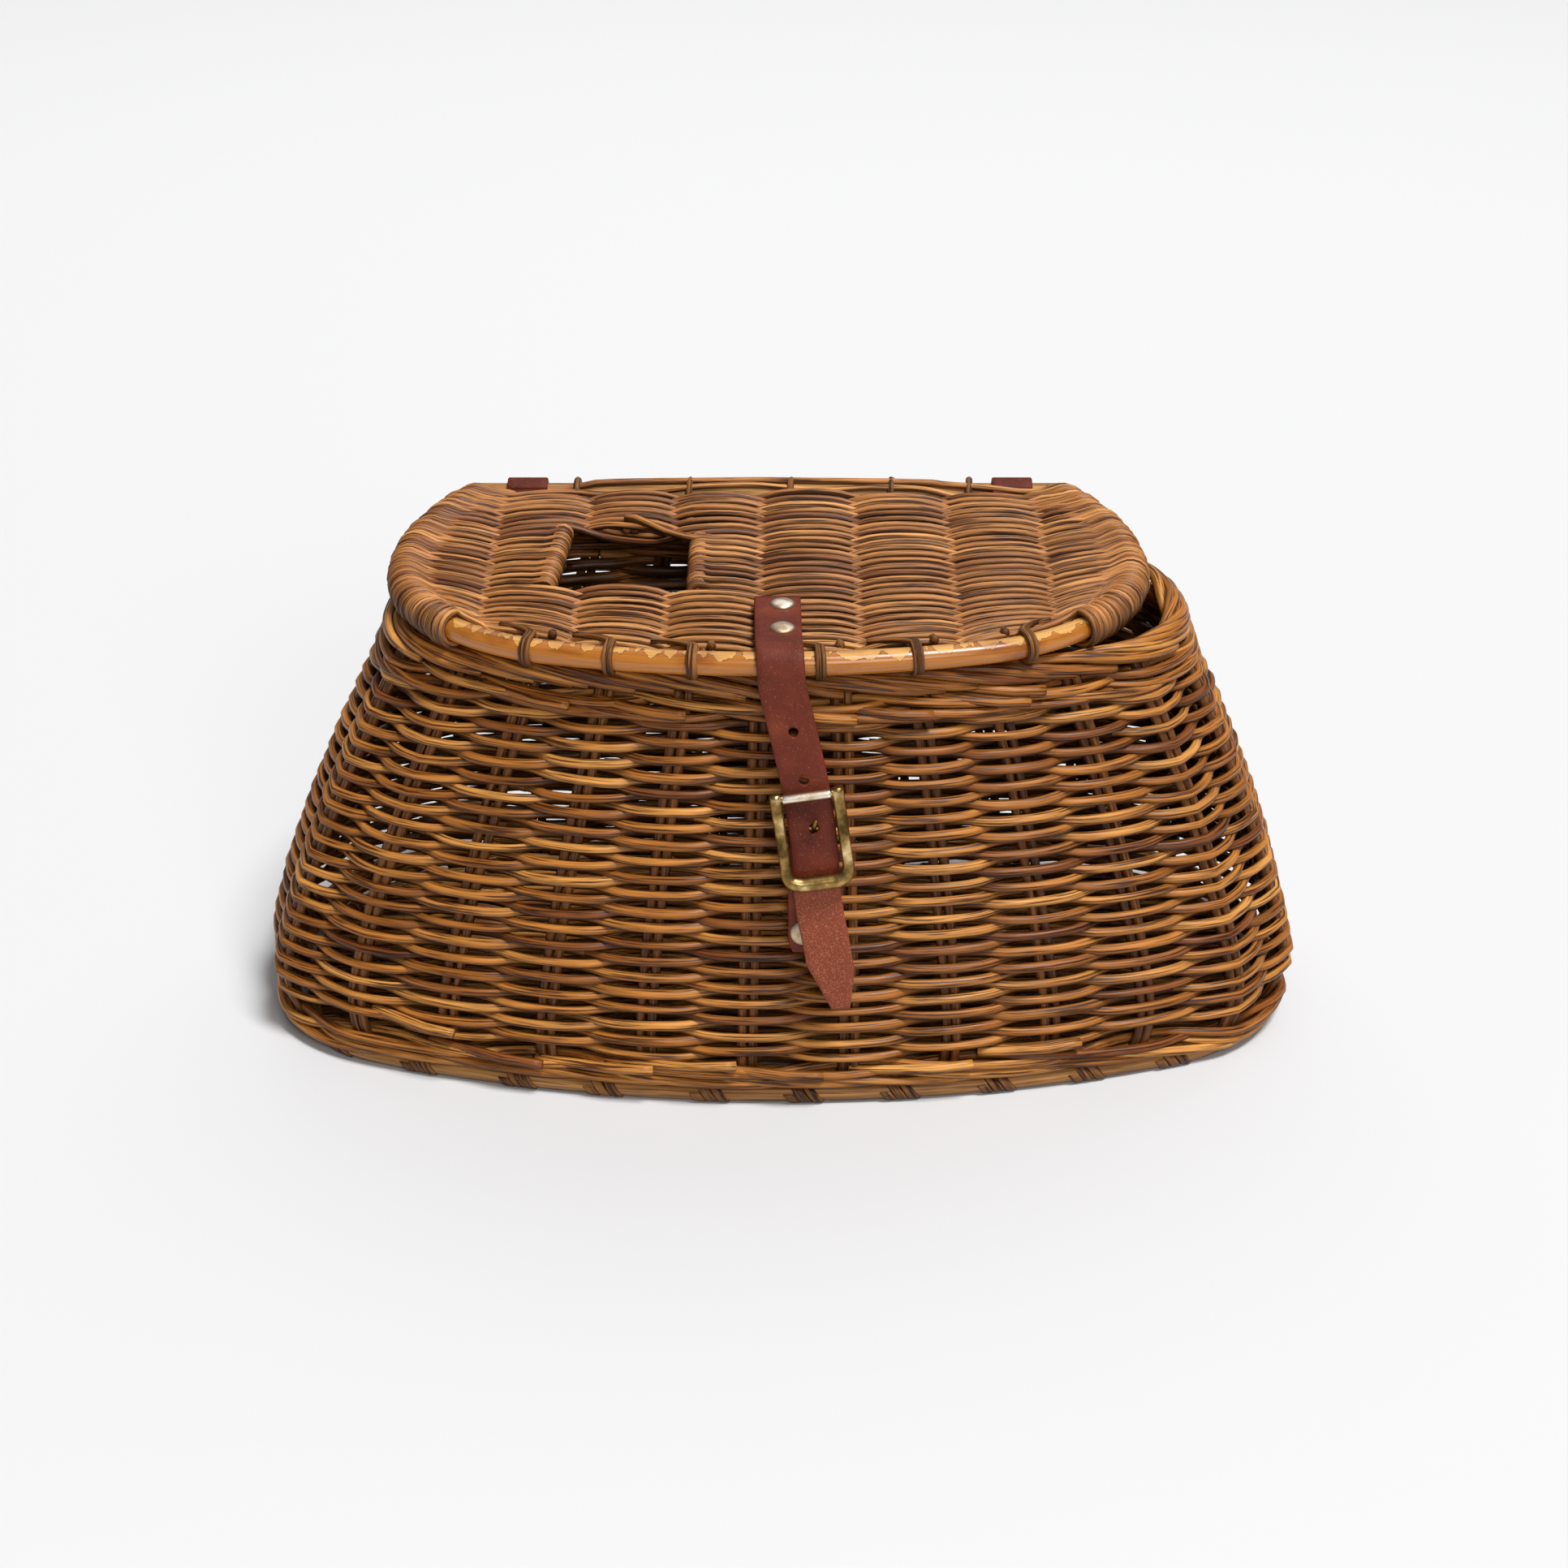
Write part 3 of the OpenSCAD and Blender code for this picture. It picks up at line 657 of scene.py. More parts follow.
# closed round hoop along an outline
def hoopMesh(name, outline, z, radius, cx, material, steps=220, sides=14):
    verts, faces, uvs = [], [], []
    length = 2 * sum(legs(outline))
    for i in range(steps):
        p = planPoint(outline, i / steps, cx)
        for j in range(sides):
            a = 2 * math.pi * j / sides
            out = radius * math.cos(a)
            verts.append((p[0] + p[2] * out, p[1] + p[3] * out, z + radius * math.sin(a)))
    around = 2 * math.pi * radius / sides
    for i in range(steps):
        for j in range(sides):
            k, m = (j + 1) % sides, (i + 1) % steps
            faces.append((i * sides + j, m * sides + j, m * sides + k, i * sides + k))
            v0, v1 = i / steps * length, (i + 1) / steps * length
            uvs += [j * around, v0, j * around, v1, (j + 1) * around, v1, (j + 1) * around, v0]
    return meshObject(name, np.array(verts) * mm, faces, uvs, material)


hoop = hoopMesh("base_hoop_cane", baseOutline, 2.8, 2.8, 0, hoopCane)
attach(hoop, "basket")
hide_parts("base_hoop")

# flat cane wound slantwise round the hoop at each stake
wraps = dict(count=26, radius=3.15, width=3.4, thick=0.6, turns=2.2, slant=9, steps=34, hoopZ=2.8)
verts, faces, uvs = [], [], []
rng = random.Random(51)
length = 2 * sum(legs(baseOutline))
for w in range(wraps["count"]):
    mid = (w + 0.75 + rng.uniform(-0.08, 0.08)) / wraps["count"]
    steps = wraps["steps"]
    base = len(verts)
    for i in range(steps + 1):
        u = i / steps
        a = mix(-0.9, -0.9 + wraps["turns"] * 2 * math.pi, u)
        shift = (u - 0.5) * wraps["slant"] + 1.5 * math.sin(a)
        for side, lift in ((-0.5, 0), (-0.35, 1), (0.35, 1), (0.5, 0)):
            p = planPoint(baseOutline, mid + (shift + side * wraps["width"]) / length, 0)
            r = wraps["radius"] - wraps["thick"] * (1 - lift) * 0.9
            z = max(0.25, wraps["hoopZ"] + r * math.sin(a))
            verts.append((p[0] + p[2] * r * math.cos(a), p[1] + p[3] * r * math.cos(a), z))
    for i in range(steps):
        for j in range(3):
            a0, b0 = base + i * 4 + j, base + (i + 1) * 4 + j
            faces.append((a0, a0 + 1, b0 + 1, b0))
            v = w * 37
            uvs += [j, v + i, j + 1, v + i, j + 1, v + i + 1, j, v + i + 1]
binding = meshObject("base_binding_cane", np.array(verts) * mm, faces, uvs, tieRods)
thicken = binding.modifiers.new("thickness", "SOLIDIFY")
thicken.thickness = 0.0004
thicken.offset = -1
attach(binding, "basket")
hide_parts("base_binding")

# woven floor: strands left to right over sticks that run front to back
floor = dict(z=2.9, pitch=3.0, rod=1.35, stick=24.0, step=4.0, depth=1.15, back=66.5, front=-86.5)


# where a line from left to right crosses an outline
def outlineEnds(outline, y, cx, inset):
    best = []
    for i in range(720):
        p = planPoint(outline, i / 720, cx)
        q = planPoint(outline, (i + 1) / 720, cx)
        ya, yb = p[1] - p[3] * inset, q[1] - q[3] * inset
        if (ya - y) * (yb - y) <= 0 and ya != yb:
            u = (y - ya) / (yb - ya)
            best.append(mix(p[0] - p[2] * inset, q[0] - q[2] * inset, u))
    return (min(best), max(best)) if best else None


floorRods = []
rng = random.Random(61)
k = 0
y = floor["back"]
while y > floor["front"]:
    ends = outlineEnds(baseOutline, y, 0, 3.0)
    if ends and ends[1] - ends[0] > 20:
        count = int((ends[1] - ends[0]) / floor["step"])
        path = []
        for i in range(count + 1):
            x = mix(ends[0], ends[1], i / count)
            w = math.tanh(1.4 * math.cos(math.pi * (x / floor["stick"] + k)))
            path.append((x, y + 0.3 * math.sin(x * 0.05 + k), floor["z"] + floor["depth"] * w))
        floorRods.append((path, [floor["rod"]] * len(path)))
    y -= floor["pitch"]
    k += 1
floorPiece = rodMesh("base_weave_rods", floorRods, 6, bodyRods, seed=62)
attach(floorPiece, "basket")
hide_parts("base_weave")
print("stage: base")

caneRadius = 4.0


def lidCaneAt(f):
    return planPoint(lidOutline, f, lidShift)


# fractions of the outline where the round frame meets the back rail
def lidFractions():
    o = lidOutline
    angle = math.acos((railY - o[2] + o[5]) / o[5])
    a = (o[0] - o[5] + o[5] * angle) / (2 * sum(legs(o)))
    return a, 1 - a


caneStart, caneEnd = lidFractions()
lidCane = dict(steps=150, sides=20, joint=0.735)
rng = random.Random(71)
path, radii = [], []
swell = wander(rng, lidCane["steps"] + 1, 22, 0.12)
for i in range(lidCane["steps"] + 1):
    u = i / lidCane["steps"]
    p = lidCaneAt(mix(caneStart, caneEnd, u))
    path.append((p[0], p[1], lidZ))
    ringMark = 0.16 * math.exp(-((u - lidCane["joint"]) / 0.004) ** 2)
    radii.append(caneRadius + swell[i] + ringMark)
canePiece = rodMesh("lid_cane_hoop", [(path, radii)], lidCane["sides"], cane, seed=72)
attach(canePiece, "lid")
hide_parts("lid_front_cane")

railHalf = 109.5
railMid = lidShift + 1.5
steps = 60
path = [(mix(railMid - railHalf, railMid + railHalf, i / steps), railY, lidZ) for i in range(steps + 1)]
railPiece = rodMesh("lid_rail", [(path, [caneRadius] * len(path))], 20, hoopCane, capRound=0.15, seed=73)
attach(railPiece, "lid")
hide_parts("lid_back_rail")

# woven lid: strands left to right over front-to-back stakes, wound round the end canes and the hole's edges
lid = dict(rows=53, rod=1.38, depth=2.4, step=4.0, wrap=1.35, backY=74.0, frontY=-72.0, endFrom=8, endTo=133,
           sides=12, edgeRing=3.1)
lidStakeX = [-119, -86, -54, -24, 10, 44, 78, 111]
holeLeft = [(-79.5, -16.5), (-75.8, 38)]
holeRight = [(-31, -21.5), (-31, 27)]


def lidStakeIndex(x):
    for i in range(len(lidStakeX) - 1):
        if x < lidStakeX[i + 1] or i == len(lidStakeX) - 2:
            return i + (x - lidStakeX[i]) / (lidStakeX[i + 1] - lidStakeX[i])
    return 0


# where strand s is wound on the end cane, on the left (-1) or the right (1)
def endCaneAt(s, side):
    along = mix(lid["endFrom"], lid["endTo"], s) / (2 * sum(legs(lidOutline)))
    return lidCaneAt(caneStart + along if side > 0 else caneEnd - along)


# the bowed front cane: how far forward it is, and its turn, at a distance from the lid's middle
def caneFront(d):
    o = lidOutline
    corner = o[0] - o[4]
    if abs(d) < o[3] * corner / (o[3] - o[4]):
        turn = math.asin(d / o[3])
        return o[3] - o[1] - o[3] * math.cos(turn), turn
    turn = math.copysign(math.asin(min(1, (abs(d) - corner) / o[4])), d)
    return frontCornerY(o) - o[4] * math.cos(turn), turn


# y of a strand: straight in the middle, gathered closer together towards the end canes
def strandY(s, x, left, right):
    end = left if x < lidShift else right
    t = min(1.0, abs(x - lidShift) / abs(end[0] - lidShift))
    y = mix(mix(lid["backY"], lid["frontY"], s), end[1], t ** 2.3)
    y = max(y, caneFront(max(-126, min(126, x - lidShift)))[0] + 5.6 - 1.5 * max(0, s - 0.9))
    behind = math.exp(-((y - 33) / 9) ** 2)
    return y + behind * (4.5 * math.exp(-((x + 72) / 17) ** 2) - 3.5 * math.exp(-((x + 34) / 15) ** 2))


# strands dip over and under the stakes, and rise to lie on the back rail and on the end canes
def strandZ(x, y, k, left, right):
    w = math.cos(math.pi * (lidStakeIndex(x) + k))
    over = min(1, max(0, (y - 66) / 6)) ** 2
    near = min(abs(x - left[0]), abs(x - right[0]))
    end = min(1, max(0, (22 - near) / 16))
    end = end * end * (3 - 2 * end)
    return lidZ + mix(mix(lid["depth"] * math.tanh(1.3 * w) / math.tanh(1.3), 4.9, over), 3.3, end)


# turns round a bar, starting at an angle from outwards, going over the top; gives points
def windRound(centre, axis, outward, radius, fromAngle, toAngle, shift, steps=14, stretch=1.0):
    up = np.array([0, 0, 1.0])
    axis, outward = unit(np.array(axis, float)), unit(np.array(outward, float))
    points = []
    for i in range(steps + 1):
        u = i / steps
        a = math.radians(mix(fromAngle, toAngle, u))
        offset = outward * radius * stretch * math.cos(a) + up * radius * math.sin(a)
        points.append(tuple(np.array(centre) + offset + axis * shift * (u - 0.25)))
    return points


def strandSpan(k, s, xa, xb, left, right, rng):
    count = max(3, int((xb - xa) / lid["step"]))
    level = wander(rng, count + 1, 6, 0.45)
    made = []
    for i in range(count + 1):
        x = mix(xa, xb, i / count)
        y = strandY(s, x, left, right) + level[i]
        made.append((x, y, strandZ(x, y, k, left, right)))
    return made


rng = random.Random(81)
lidRodsList = []
for k in range(lid["rows"]):
    s = k / (lid["rows"] - 1)
    left, right = endCaneAt(s, -1), endCaneAt(s, 1)
    middleY = strandY(s, -54, left, right)
    crosses = -18.5 < middleY < 31.5
    radius = lid["rod"] * rng.uniform(0.9, 1.07)
    windings = {}
    for side, p in ((-1, left), (1, right)):
        turned = s ** 2.5
        outward = unit(np.array([mix(side, p[2], turned), mix(0.1, p[3], turned), 0.0]))
        along = np.array([-outward[1], outward[0], 0]) * (1 if side < 0 else -1)
        ring = caneRadius + lid["wrap"] + rng.uniform(-0.1, 0.7)
        stretch = 1 / max(0.6, outward[0] * p[2] + outward[1] * p[3])
        windings[side] = windRound((p[0], p[1], lidZ), along, outward, ring, 122, -165,
                                   rng.uniform(0.3, 2.2), 14, stretch)
    xa, xb = windings[-1][0][0] + 4.0, windings[1][0][0] - 4.0
    if crosses:
        u = min(1, max(0, (middleY - holeLeft[0][1]) / (holeLeft[1][1] - holeLeft[0][1])))
        barL = mix(holeLeft[0][0], holeLeft[1][0], u)
        barR = holeRight[0][0]
        atLeft = (barL - 2.6, strandY(s, barL, left, right), lidZ)
        atRight = (barR + 2.6, strandY(s, barR, left, right), lidZ)
        roundLeft = windRound(atLeft, (0, -1, 0), (1, 0, 0), lid["edgeRing"], 100, -170, 1.0, 10)
        roundRight = windRound(atRight, (0, -1, 0), (-1, 0, 0), lid["edgeRing"], 100, -170, 1.0, 10)
        spans = [windings[-1][::-1] + strandSpan(k, s, xa, barL - 7, left, right, rng) + roundLeft,
                 roundRight[::-1] + strandSpan(k, s, barR + 7, xb, left, right, rng) + windings[1]]
    else:
        spans = [windings[-1][::-1] + strandSpan(k, s, xa, xb, left, right, rng) + windings[1]]
    for span in spans:
        lidRodsList.append((span, [radius] * len(span)))

# the broken strand that lies across the hole's back edge
loose = [(-56, 39, 4.4), (-52.5, 37.2, 5.0), (-47, 33, 4.3), (-41, 28.5, 3.4), (-34, 24.5, 3.0),
         (-27, 21.5, 3.2)]
lidRodsList.append(([(x, y, lidZ + z) for x, y, z in loose], [lid["rod"] * 1.05] * len(loose)))
lidPiece = rodMesh("lid_strands", lidRodsList, lid["sides"], lidRods, seed=82, groove=0.12)
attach(lidPiece, "lid")
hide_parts("lid_weave", "lid_end_wraps")

# sticks along the hole's left and right edges, under the windings
for side, ends, dx in (("left", holeLeft, -2.6), ("right", holeRight, 2.6)):
    path = []
    for i in range(9):
        x = mix(ends[0][0], ends[1][0], i / 8) + dx
        path.append((x, mix(ends[0][1] - 2, ends[1][1] + 4, i / 8), lidZ))
    stick = rodMesh(f"hole_stick_{side}", [(path, [1.9] * 9)], 12, lidRods, seed=83)
    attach(stick, "lid")
    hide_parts(f"hole_edge_{side}")

# lid stakes with cut ends showing beside the ties
lidStakeRuns = [(-86, -60.5, 60), (-54, -69.5, -21), (-54, 35, 68), (-24, -72.2, 68), (10, -72.8, 68),
                (44, -69.5, 68), (78, -61.5, 60)]
runs = []
for x, ya, yb in lidStakeRuns:
    for side in (-1.4, 1.4):
        path = [(x + side, mix(ya, yb, i / 12), lidZ + (1.2 if i == 0 else 0)) for i in range(13)]
        runs.append((path, [1.45] * 13))
for x in (-76.5, -23, 20, 51.5, 75.5):
    y = caneFront(x - lidShift)[0]
    path = [(x, y + 15, lidZ + 0.5), (x, y + 10.5, lidZ + 2.2), (x + 0.3, y + 7.5, lidZ + 3.3),
            (x + 0.4, y + 5.4, lidZ + 3.8)]
    runs.append((path, [1.55] * 4))
lidStakePiece = rodMesh("lid_stake_rods", runs, 8, stakeRods, capRound=0.1, seed=84)
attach(lidStakePiece, "lid")
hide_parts("lid_stakes")
print("stage: lid weave")


# a tie: one strand that lies on the weave, goes over the cane and round it
def tiePath(x, ring, tail, drift):
    y, turn = caneFront(x - lidShift)
    outward = np.array([math.sin(turn), -math.cos(turn), 0])
    along = np.array([math.cos(turn), math.sin(turn), 0])
    middle = np.array([x, y, lidZ])
    points = []
    for i in range(7):
        u = i / 6
        inward = mix(9.5, 2.4, u ** 1.6)
        lift = np.array([0, 0, mix(3.0, 5.2, u)])
        points.append(middle - outward * inward - along * tail * (1 - u) ** 1.3 + lift)
    for i in range(1, 22):
        a = math.radians(mix(108, -225, i / 21))
        lift = np.array([0, 0, ring * math.sin(a)])
        points.append(middle + outward * ring * math.cos(a) + lift + along * drift * i / 21)
    return points


ties = dict(rod=0.98, ring=4.95, xs=[-84, -56.6, -29, 13.4, 45.4, 83])
tieList = []
for x in ties["xs"]:
    tail = -15 if x > 60 else 14
    tieList.append((tiePath(x - 0.8, ties["ring"], tail, 0.4), [ties["rod"]] * 28))
    tieList.append((tiePath(x + 0.95, ties["ring"] - 0.1, tail * 0.9, 0.3), [ties["rod"] * 0.95] * 28))
tiePiece = rodMesh("front_tie_strands", tieList, 12, tieRods, seed=85, groove=0.1)
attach(tiePiece, "lid")
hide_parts("lid_front_ties")

# the same on the back rail: a strand wound once round it
nubs = dict(rod=1.3, ring=5.1, xs=[-76, -34, 3.6, 41, 70])
nubList = []
for x in nubs["xs"]:
    points = []
    for i in range(25):
        a = math.radians(200 - 380 * i / 24)
        out, up = nubs["ring"] * math.cos(a), nubs["ring"] * math.sin(a)
        points.append((x + 1.6 * i / 24, railY + out, lidZ + up))
    nubList.append((points, [nubs["rod"]] * len(points)))
nubPiece = rodMesh("back_tie_strands", nubList, 12, tieRods, seed=86, groove=0.1)
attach(nubPiece, "lid")
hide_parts("lid_back_ties")
print("stage: ties")

# band with rounded edges swept along centre points with a width direction and a face normal at each
def bandMesh(name, centres, sideways, normals, widths, thick, material):
    verts, faces, uvs = [], [], []
    edge = thick * 0.5
    for i, c in enumerate(centres):
        w = widths[i] / 2
        c, s, n = np.array(c), unit(np.array(sideways[i])), unit(np.array(normals[i]))
        profile = []
        for j in range(9):
            profile.append((mix(-w + edge * 0.5, w - edge * 0.5, j / 8), thick / 2))
        profile += [(w - edge * 0.12, thick * 0.36), (w, 0.0), (w - edge * 0.12, -thick * 0.36)]
        for j in range(9):
            profile.append((mix(w - edge * 0.5, -w + edge * 0.5, j / 8), -thick / 2))
        profile += [(-w + edge * 0.12, -thick * 0.36), (-w, 0.0), (-w + edge * 0.12, thick * 0.36)]
        count = len(profile)
        for a, b in profile:
            verts.append(c + s * a + n * b)
    rings = len(centres)
    for i in range(rings - 1):
        for j in range(count):
            k = (j + 1) % count
            faces.append((i * count + j, i * count + k, (i + 1) * count + k, (i + 1) * count + j))
    faces.append(tuple(range(count - 1, -1, -1)))
    faces.append(tuple((rings - 1) * count + j for j in range(count)))
    return meshObject(name, np.array(verts) * mm, faces, None, material)


# the hanging strap's own frame: s down along it, n out of its face, u across it
strap = dict(x=2.6, y=-84.2, z=158, lean=8, slant=8, width=16, thick=2.2, length=117.5)


def strapPoint(s, n, u=0.0):
    a, b = math.radians(-strap["slant"]), math.radians(-strap["lean"])
    x, y, z = u, -n, -s
    x, z = x * math.cos(a) + z * math.sin(a), -x * math.sin(a) + z * math.cos(a)
    y, z = y * math.cos(b) - z * math.sin(b), y * math.sin(b) + z * math.cos(b)
    return np.array([strap["x"] + x, strap["y"] + y, strap["z"] + z])


acrossStrap = unit(strapPoint(0, 0, 1) - strapPoint(0, 0, 0))
outOfStrap = unit(strapPoint(0, 1, 0) - strapPoint(0, 0, 0))
downStrap = unit(strapPoint(1, 0, 0) - strapPoint(0, 0, 0))

# path over the lid and round the cane, as y and z
profile = [(-35.0, 166.3), (-45, 166.3), (-55, 166.3), (-64, 166.4), (-70, 166.9), (-74, 167.4), (-77, 167.5),
           (-79.5, 166.9), (-81.6, 165.6), (-83.0, 163.8), (-83.9, 161.5), (-84.3, 159.0)]


# smooth curve through points, with so many steps between each two
def smoothLine(points, per):
    p = [np.array(q, float) for q in points]
    p = [2 * p[0] - p[1]] + p + [2 * p[-1] - p[-2]]
    made = []
    for i in range(1, len(p) - 2):
        for j in range(per):
            t = j / per
            made.append(0.5 * (2 * p[i] + (p[i + 1] - p[i - 1]) * t
                               + (2 * p[i - 1] - 5 * p[i] + 4 * p[i + 1] - p[i + 2]) * t * t
                               + (3 * p[i] - p[i - 1] - 3 * p[i + 1] + p[i + 2]) * t ** 3))
    made.append(p[-2])
    return made


# then down through the buckle, as down, out and across
points = [(strap["x"] - 3.4 + 1.4 * i / 11, y, z) for i, (y, z) in enumerate(profile)]
tailOut = [(4, 0, -1.8), (12, 0.25, -1.0), (22, 0.2, -0.2), (32, -0.1, 0.6), (40.4, -0.35, 1.0),
           (48, 0, 1.1), (58, 0.25, 0.9), (66, 0.1, 0.4), (72.5, -0.6, -0.1), (82, -0.2, -0.4),
           (93, 0.9, 0.2), (104, 1.3, 0.4), (114, 1.2, 0.2), (strap["length"], 0.8, 0.0)]
for s, n, u in tailOut:
    points.append(tuple(strapPoint(s, n, u)))
line = smoothLine(points, 5)
centres, normals, sideways, widths, rubbed = [], [], [], [], []
for i, c in enumerate(line):
    a, b = line[max(0, i - 1)], line[min(len(line) - 1, i + 1)]
    along = unit(b - a)
    blend = min(1.0, max(0.0, (i - 35) / 25))
    side = unit(np.array([1.0, -0.03, 0]) * (1 - blend) + acrossStrap * blend)
    side = unit(side - along * np.dot(side, along))
    sideways.append(side)
    normals.append(np.cross(side, along) * -1)
    left = sum(np.linalg.norm(line[j + 1] - line[j]) for j in range(i, len(line) - 1))
    cutLeft = 6.6 * max(0, 1 - left / 17)
    cutRight = 2.8 * max(0, 1 - left / 13)
    centres.append(c + side * (cutLeft - cutRight) / 2)
    widths.append(strap["width"] - cutLeft - cutRight)
    # the strap's last 50 mm is paler: partly scuffing, partly painted light
    rubbed.append(min(1, max(0, (50 - left) / 8)))
strapPiece = bandMesh("closing_strap", centres, sideways, normals, widths, strap["thick"], leather)
perRing = len(strapPiece.data.vertices) // len(centres)
setPerVertex(strapPiece, "rubbed", [value for value in rubbed for _ in range(perRing)])


# punches round holes straight through a piece, at points along a direction
def punch(piece, places, direction, radius):
    for place in places:
        bpy.ops.mesh.primitive_cylinder_add(vertices=24, radius=radius * mm, depth=0.012,
                                            location=Vector(place) * mm)
        cutter = bpy.context.object
        cutter.rotation_mode = "QUATERNION"
        cutter.rotation_quaternion = Vector(direction).to_track_quat("Z", "Y")
        cut = piece.modifiers.new("hole", "BOOLEAN")
        cut.object = cutter
        cut.solver = "EXACT"
        bpy.context.view_layer.update()
        solid = bpy.data.meshes.new_from_object(piece.evaluated_get(bpy.context.evaluated_depsgraph_get()))
        piece.modifiers.clear()
        piece.data = solid
        bpy.data.objects.remove(cutter)


holes = dict(first=17.2, step=17.35, radius=1.7, across=[-0.4, 0.7, 1.6])
punched = [strapPoint(holes["first"] + i * holes["step"], 0, u) for i, u in enumerate(holes["across"])]
punch(strapPiece, punched, outOfStrap, holes["radius"])
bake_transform(strapPiece)
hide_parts("strap_head", "strap_tail")

# chape: short strap hanging straight down behind, from the centre bar
barPoint = strapPoint(58, -3.4)
chape = dict(thick=2.5, length=40, width=15.6)
centres, normals, sideways = [], [], []
turnBack = math.radians(strap["slant"])
chapeDown = unit(downStrap * math.cos(turnBack) - acrossStrap * math.sin(turnBack))
chapeSide = unit(acrossStrap * math.cos(turnBack) + downStrap * math.sin(turnBack))
for i in range(16):
    a = math.radians(mix(-80, 180, i / 15))
    centres.append(barPoint + outOfStrap * 1.5 * math.cos(a) - downStrap * 1.5 * math.sin(a))
    sideways.append(acrossStrap)
    normals.append(outOfStrap * math.cos(a) - downStrap * math.sin(a))
foldPiece = bandMesh("chape_fold", centres, sideways, normals, [chape["width"]] * 16, 1.25, leather)
centres = [barPoint + outOfStrap * -0.9 + chapeDown * mix(0.8, chape["length"], i / 14) for i in range(15)]
widths = [chape["width"]] * 13 + [chape["width"] * 0.95, chape["width"] * 0.82]
legPiece = bandMesh("chape_leg", centres, [chapeSide] * 15, [outOfStrap] * 15, widths, chape["thick"],
                    leather)
for piece in (foldPiece, legPiece):
    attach(piece, "basket")
    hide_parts("chape")


# hinge tab: a leather belt round the lid's rail and under the border
def hingeTab(name, x, node):
    rail = np.array([railY, lidZ])
    low = np.array([66.0, 151.4])
    down = unit(low - rail)
    out = np.array([-down[1], down[0]])
    reach = np.linalg.norm(low - rail)
    ring = []
    for i in range(15):
        a = math.radians(-90 + 180 * i / 14)
        ring.append(rail - down * 5.1 * math.cos(a) + out * 5.1 * math.sin(a))
    for i in range(9):
        a = math.radians(90 - 180 * i / 8)
        ring.append(rail + down * (reach + 4.5 * math.cos(a)) + out * 4.5 * math.sin(a))
    ring.append(ring[0])
    centres = [(x, y, z) for y, z in ring]
    normals = []
    for i in range(len(ring)):
        a, b = ring[max(0, i - 1)], ring[min(len(ring) - 1, i + 1)]
        t = unit(b - a)
        normals.append((0, -t[1], t[0]))
    piece = bandMesh(name, centres, [(1, 0, 0)] * len(ring), normals, [15] * len(ring), 1.9, leather)
    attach(piece, "basket")
    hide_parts(node)


hingeTab("hinge_leather_left", -94, "hinge_tab_left")
hingeTab("hinge_leather_right", 86.5, "hinge_tab_right")
print("stage: leather")

# slightly dented dome cap on a point, facing a direction
def capMesh(name, centre, direction, radius, height, material, seed, body):
    rng = random.Random(seed)
    n = unit(np.array(direction, float))
    u = unit(np.cross(n, [0.3, 1.0, 0.2]))
    v = np.cross(n, u)
    rings, spokes = 9, 32
    verts, faces = [np.array(centre) + n * height], []
    dents = []
    for i in range(6):
        x, y = rng.uniform(-0.6, 0.6) * radius, rng.uniform(-0.6, 0.6) * radius
        dents.append((x, y, rng.uniform(0.04, 0.12)))
    for i in range(1, rings + 1):
        t = i / rings
        r = radius * math.sin(t * math.pi / 2)
        h = height * math.cos(t * math.pi / 2) if i < rings else -0.25
        for j in range(spokes):
            a = 2 * math.pi * j / spokes
            x, y = r * math.cos(a), r * math.sin(a)
            dip = sum(d * math.exp(-((x - dx) ** 2 + (y - dy) ** 2) / 1.6) for dx, dy, d in dents)
            verts.append(np.array(centre) + u * x + v * y + n * (h - dip))
    for j in range(spokes):
        faces.append((0, 1 + j, 1 + (j + 1) % spokes))
    for i in range(rings - 1):
        for j in range(spokes):
            k = (j + 1) % spokes
            a, b = 1 + i * spokes, 1 + (i + 1) * spokes
            faces.append((a + j, b + j, b + k, a + k))
    faces.append(tuple(1 + (rings - 1) * spokes + j for j in range(spokes - 1, -1, -1)))
    piece = meshObject(name, np.array(verts) * mm, faces, None, material)
    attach(piece, body)
    return piece


for i, y in enumerate((-42, -62)):
    cap = capMesh(f"strap_rivet_{i}", (1.0, y, 167.45), (0, 0, 1), 4.3, 1.65, nickel, 90 + i, "lid")
    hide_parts("strap_rivets")
chapeRivetAt = barPoint + chapeDown * 33 - chapeSide * 2.8 + outOfStrap * 0.4
cap = capMesh("chape_rivet_cap", chapeRivetAt, outOfStrap, 4.3, 1.55, nickel, 94, "basket")
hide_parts("chape_rivet")


# rod bent along points given in the strap's frame as (across, down, out)
def strapRod(name, points, radii, sides, material, body, per=6):
    dense = smoothLine([strapPoint(s, n, u) for u, s, n in points], per)
    count = len(dense)
    values = [float(np.interp(i / (count - 1), np.linspace(0, 1, len(radii)), radii)) for i in range(count)]
    piece = rodMesh(name, [(dense, values)], sides, material, seed=97)
    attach(piece, body)
    return piece


buckle = dict(half=10.5, top=39.6, low=70.4, bar=58, barOut=-3.4, out=3.3, shift=1.0, corner=4.2)
h, c, n = buckle["half"], buckle["corner"], buckle["out"]
m, top, low = buckle["shift"], buckle["top"], buckle["low"]
bar, barOut = buckle["bar"], buckle["barOut"]

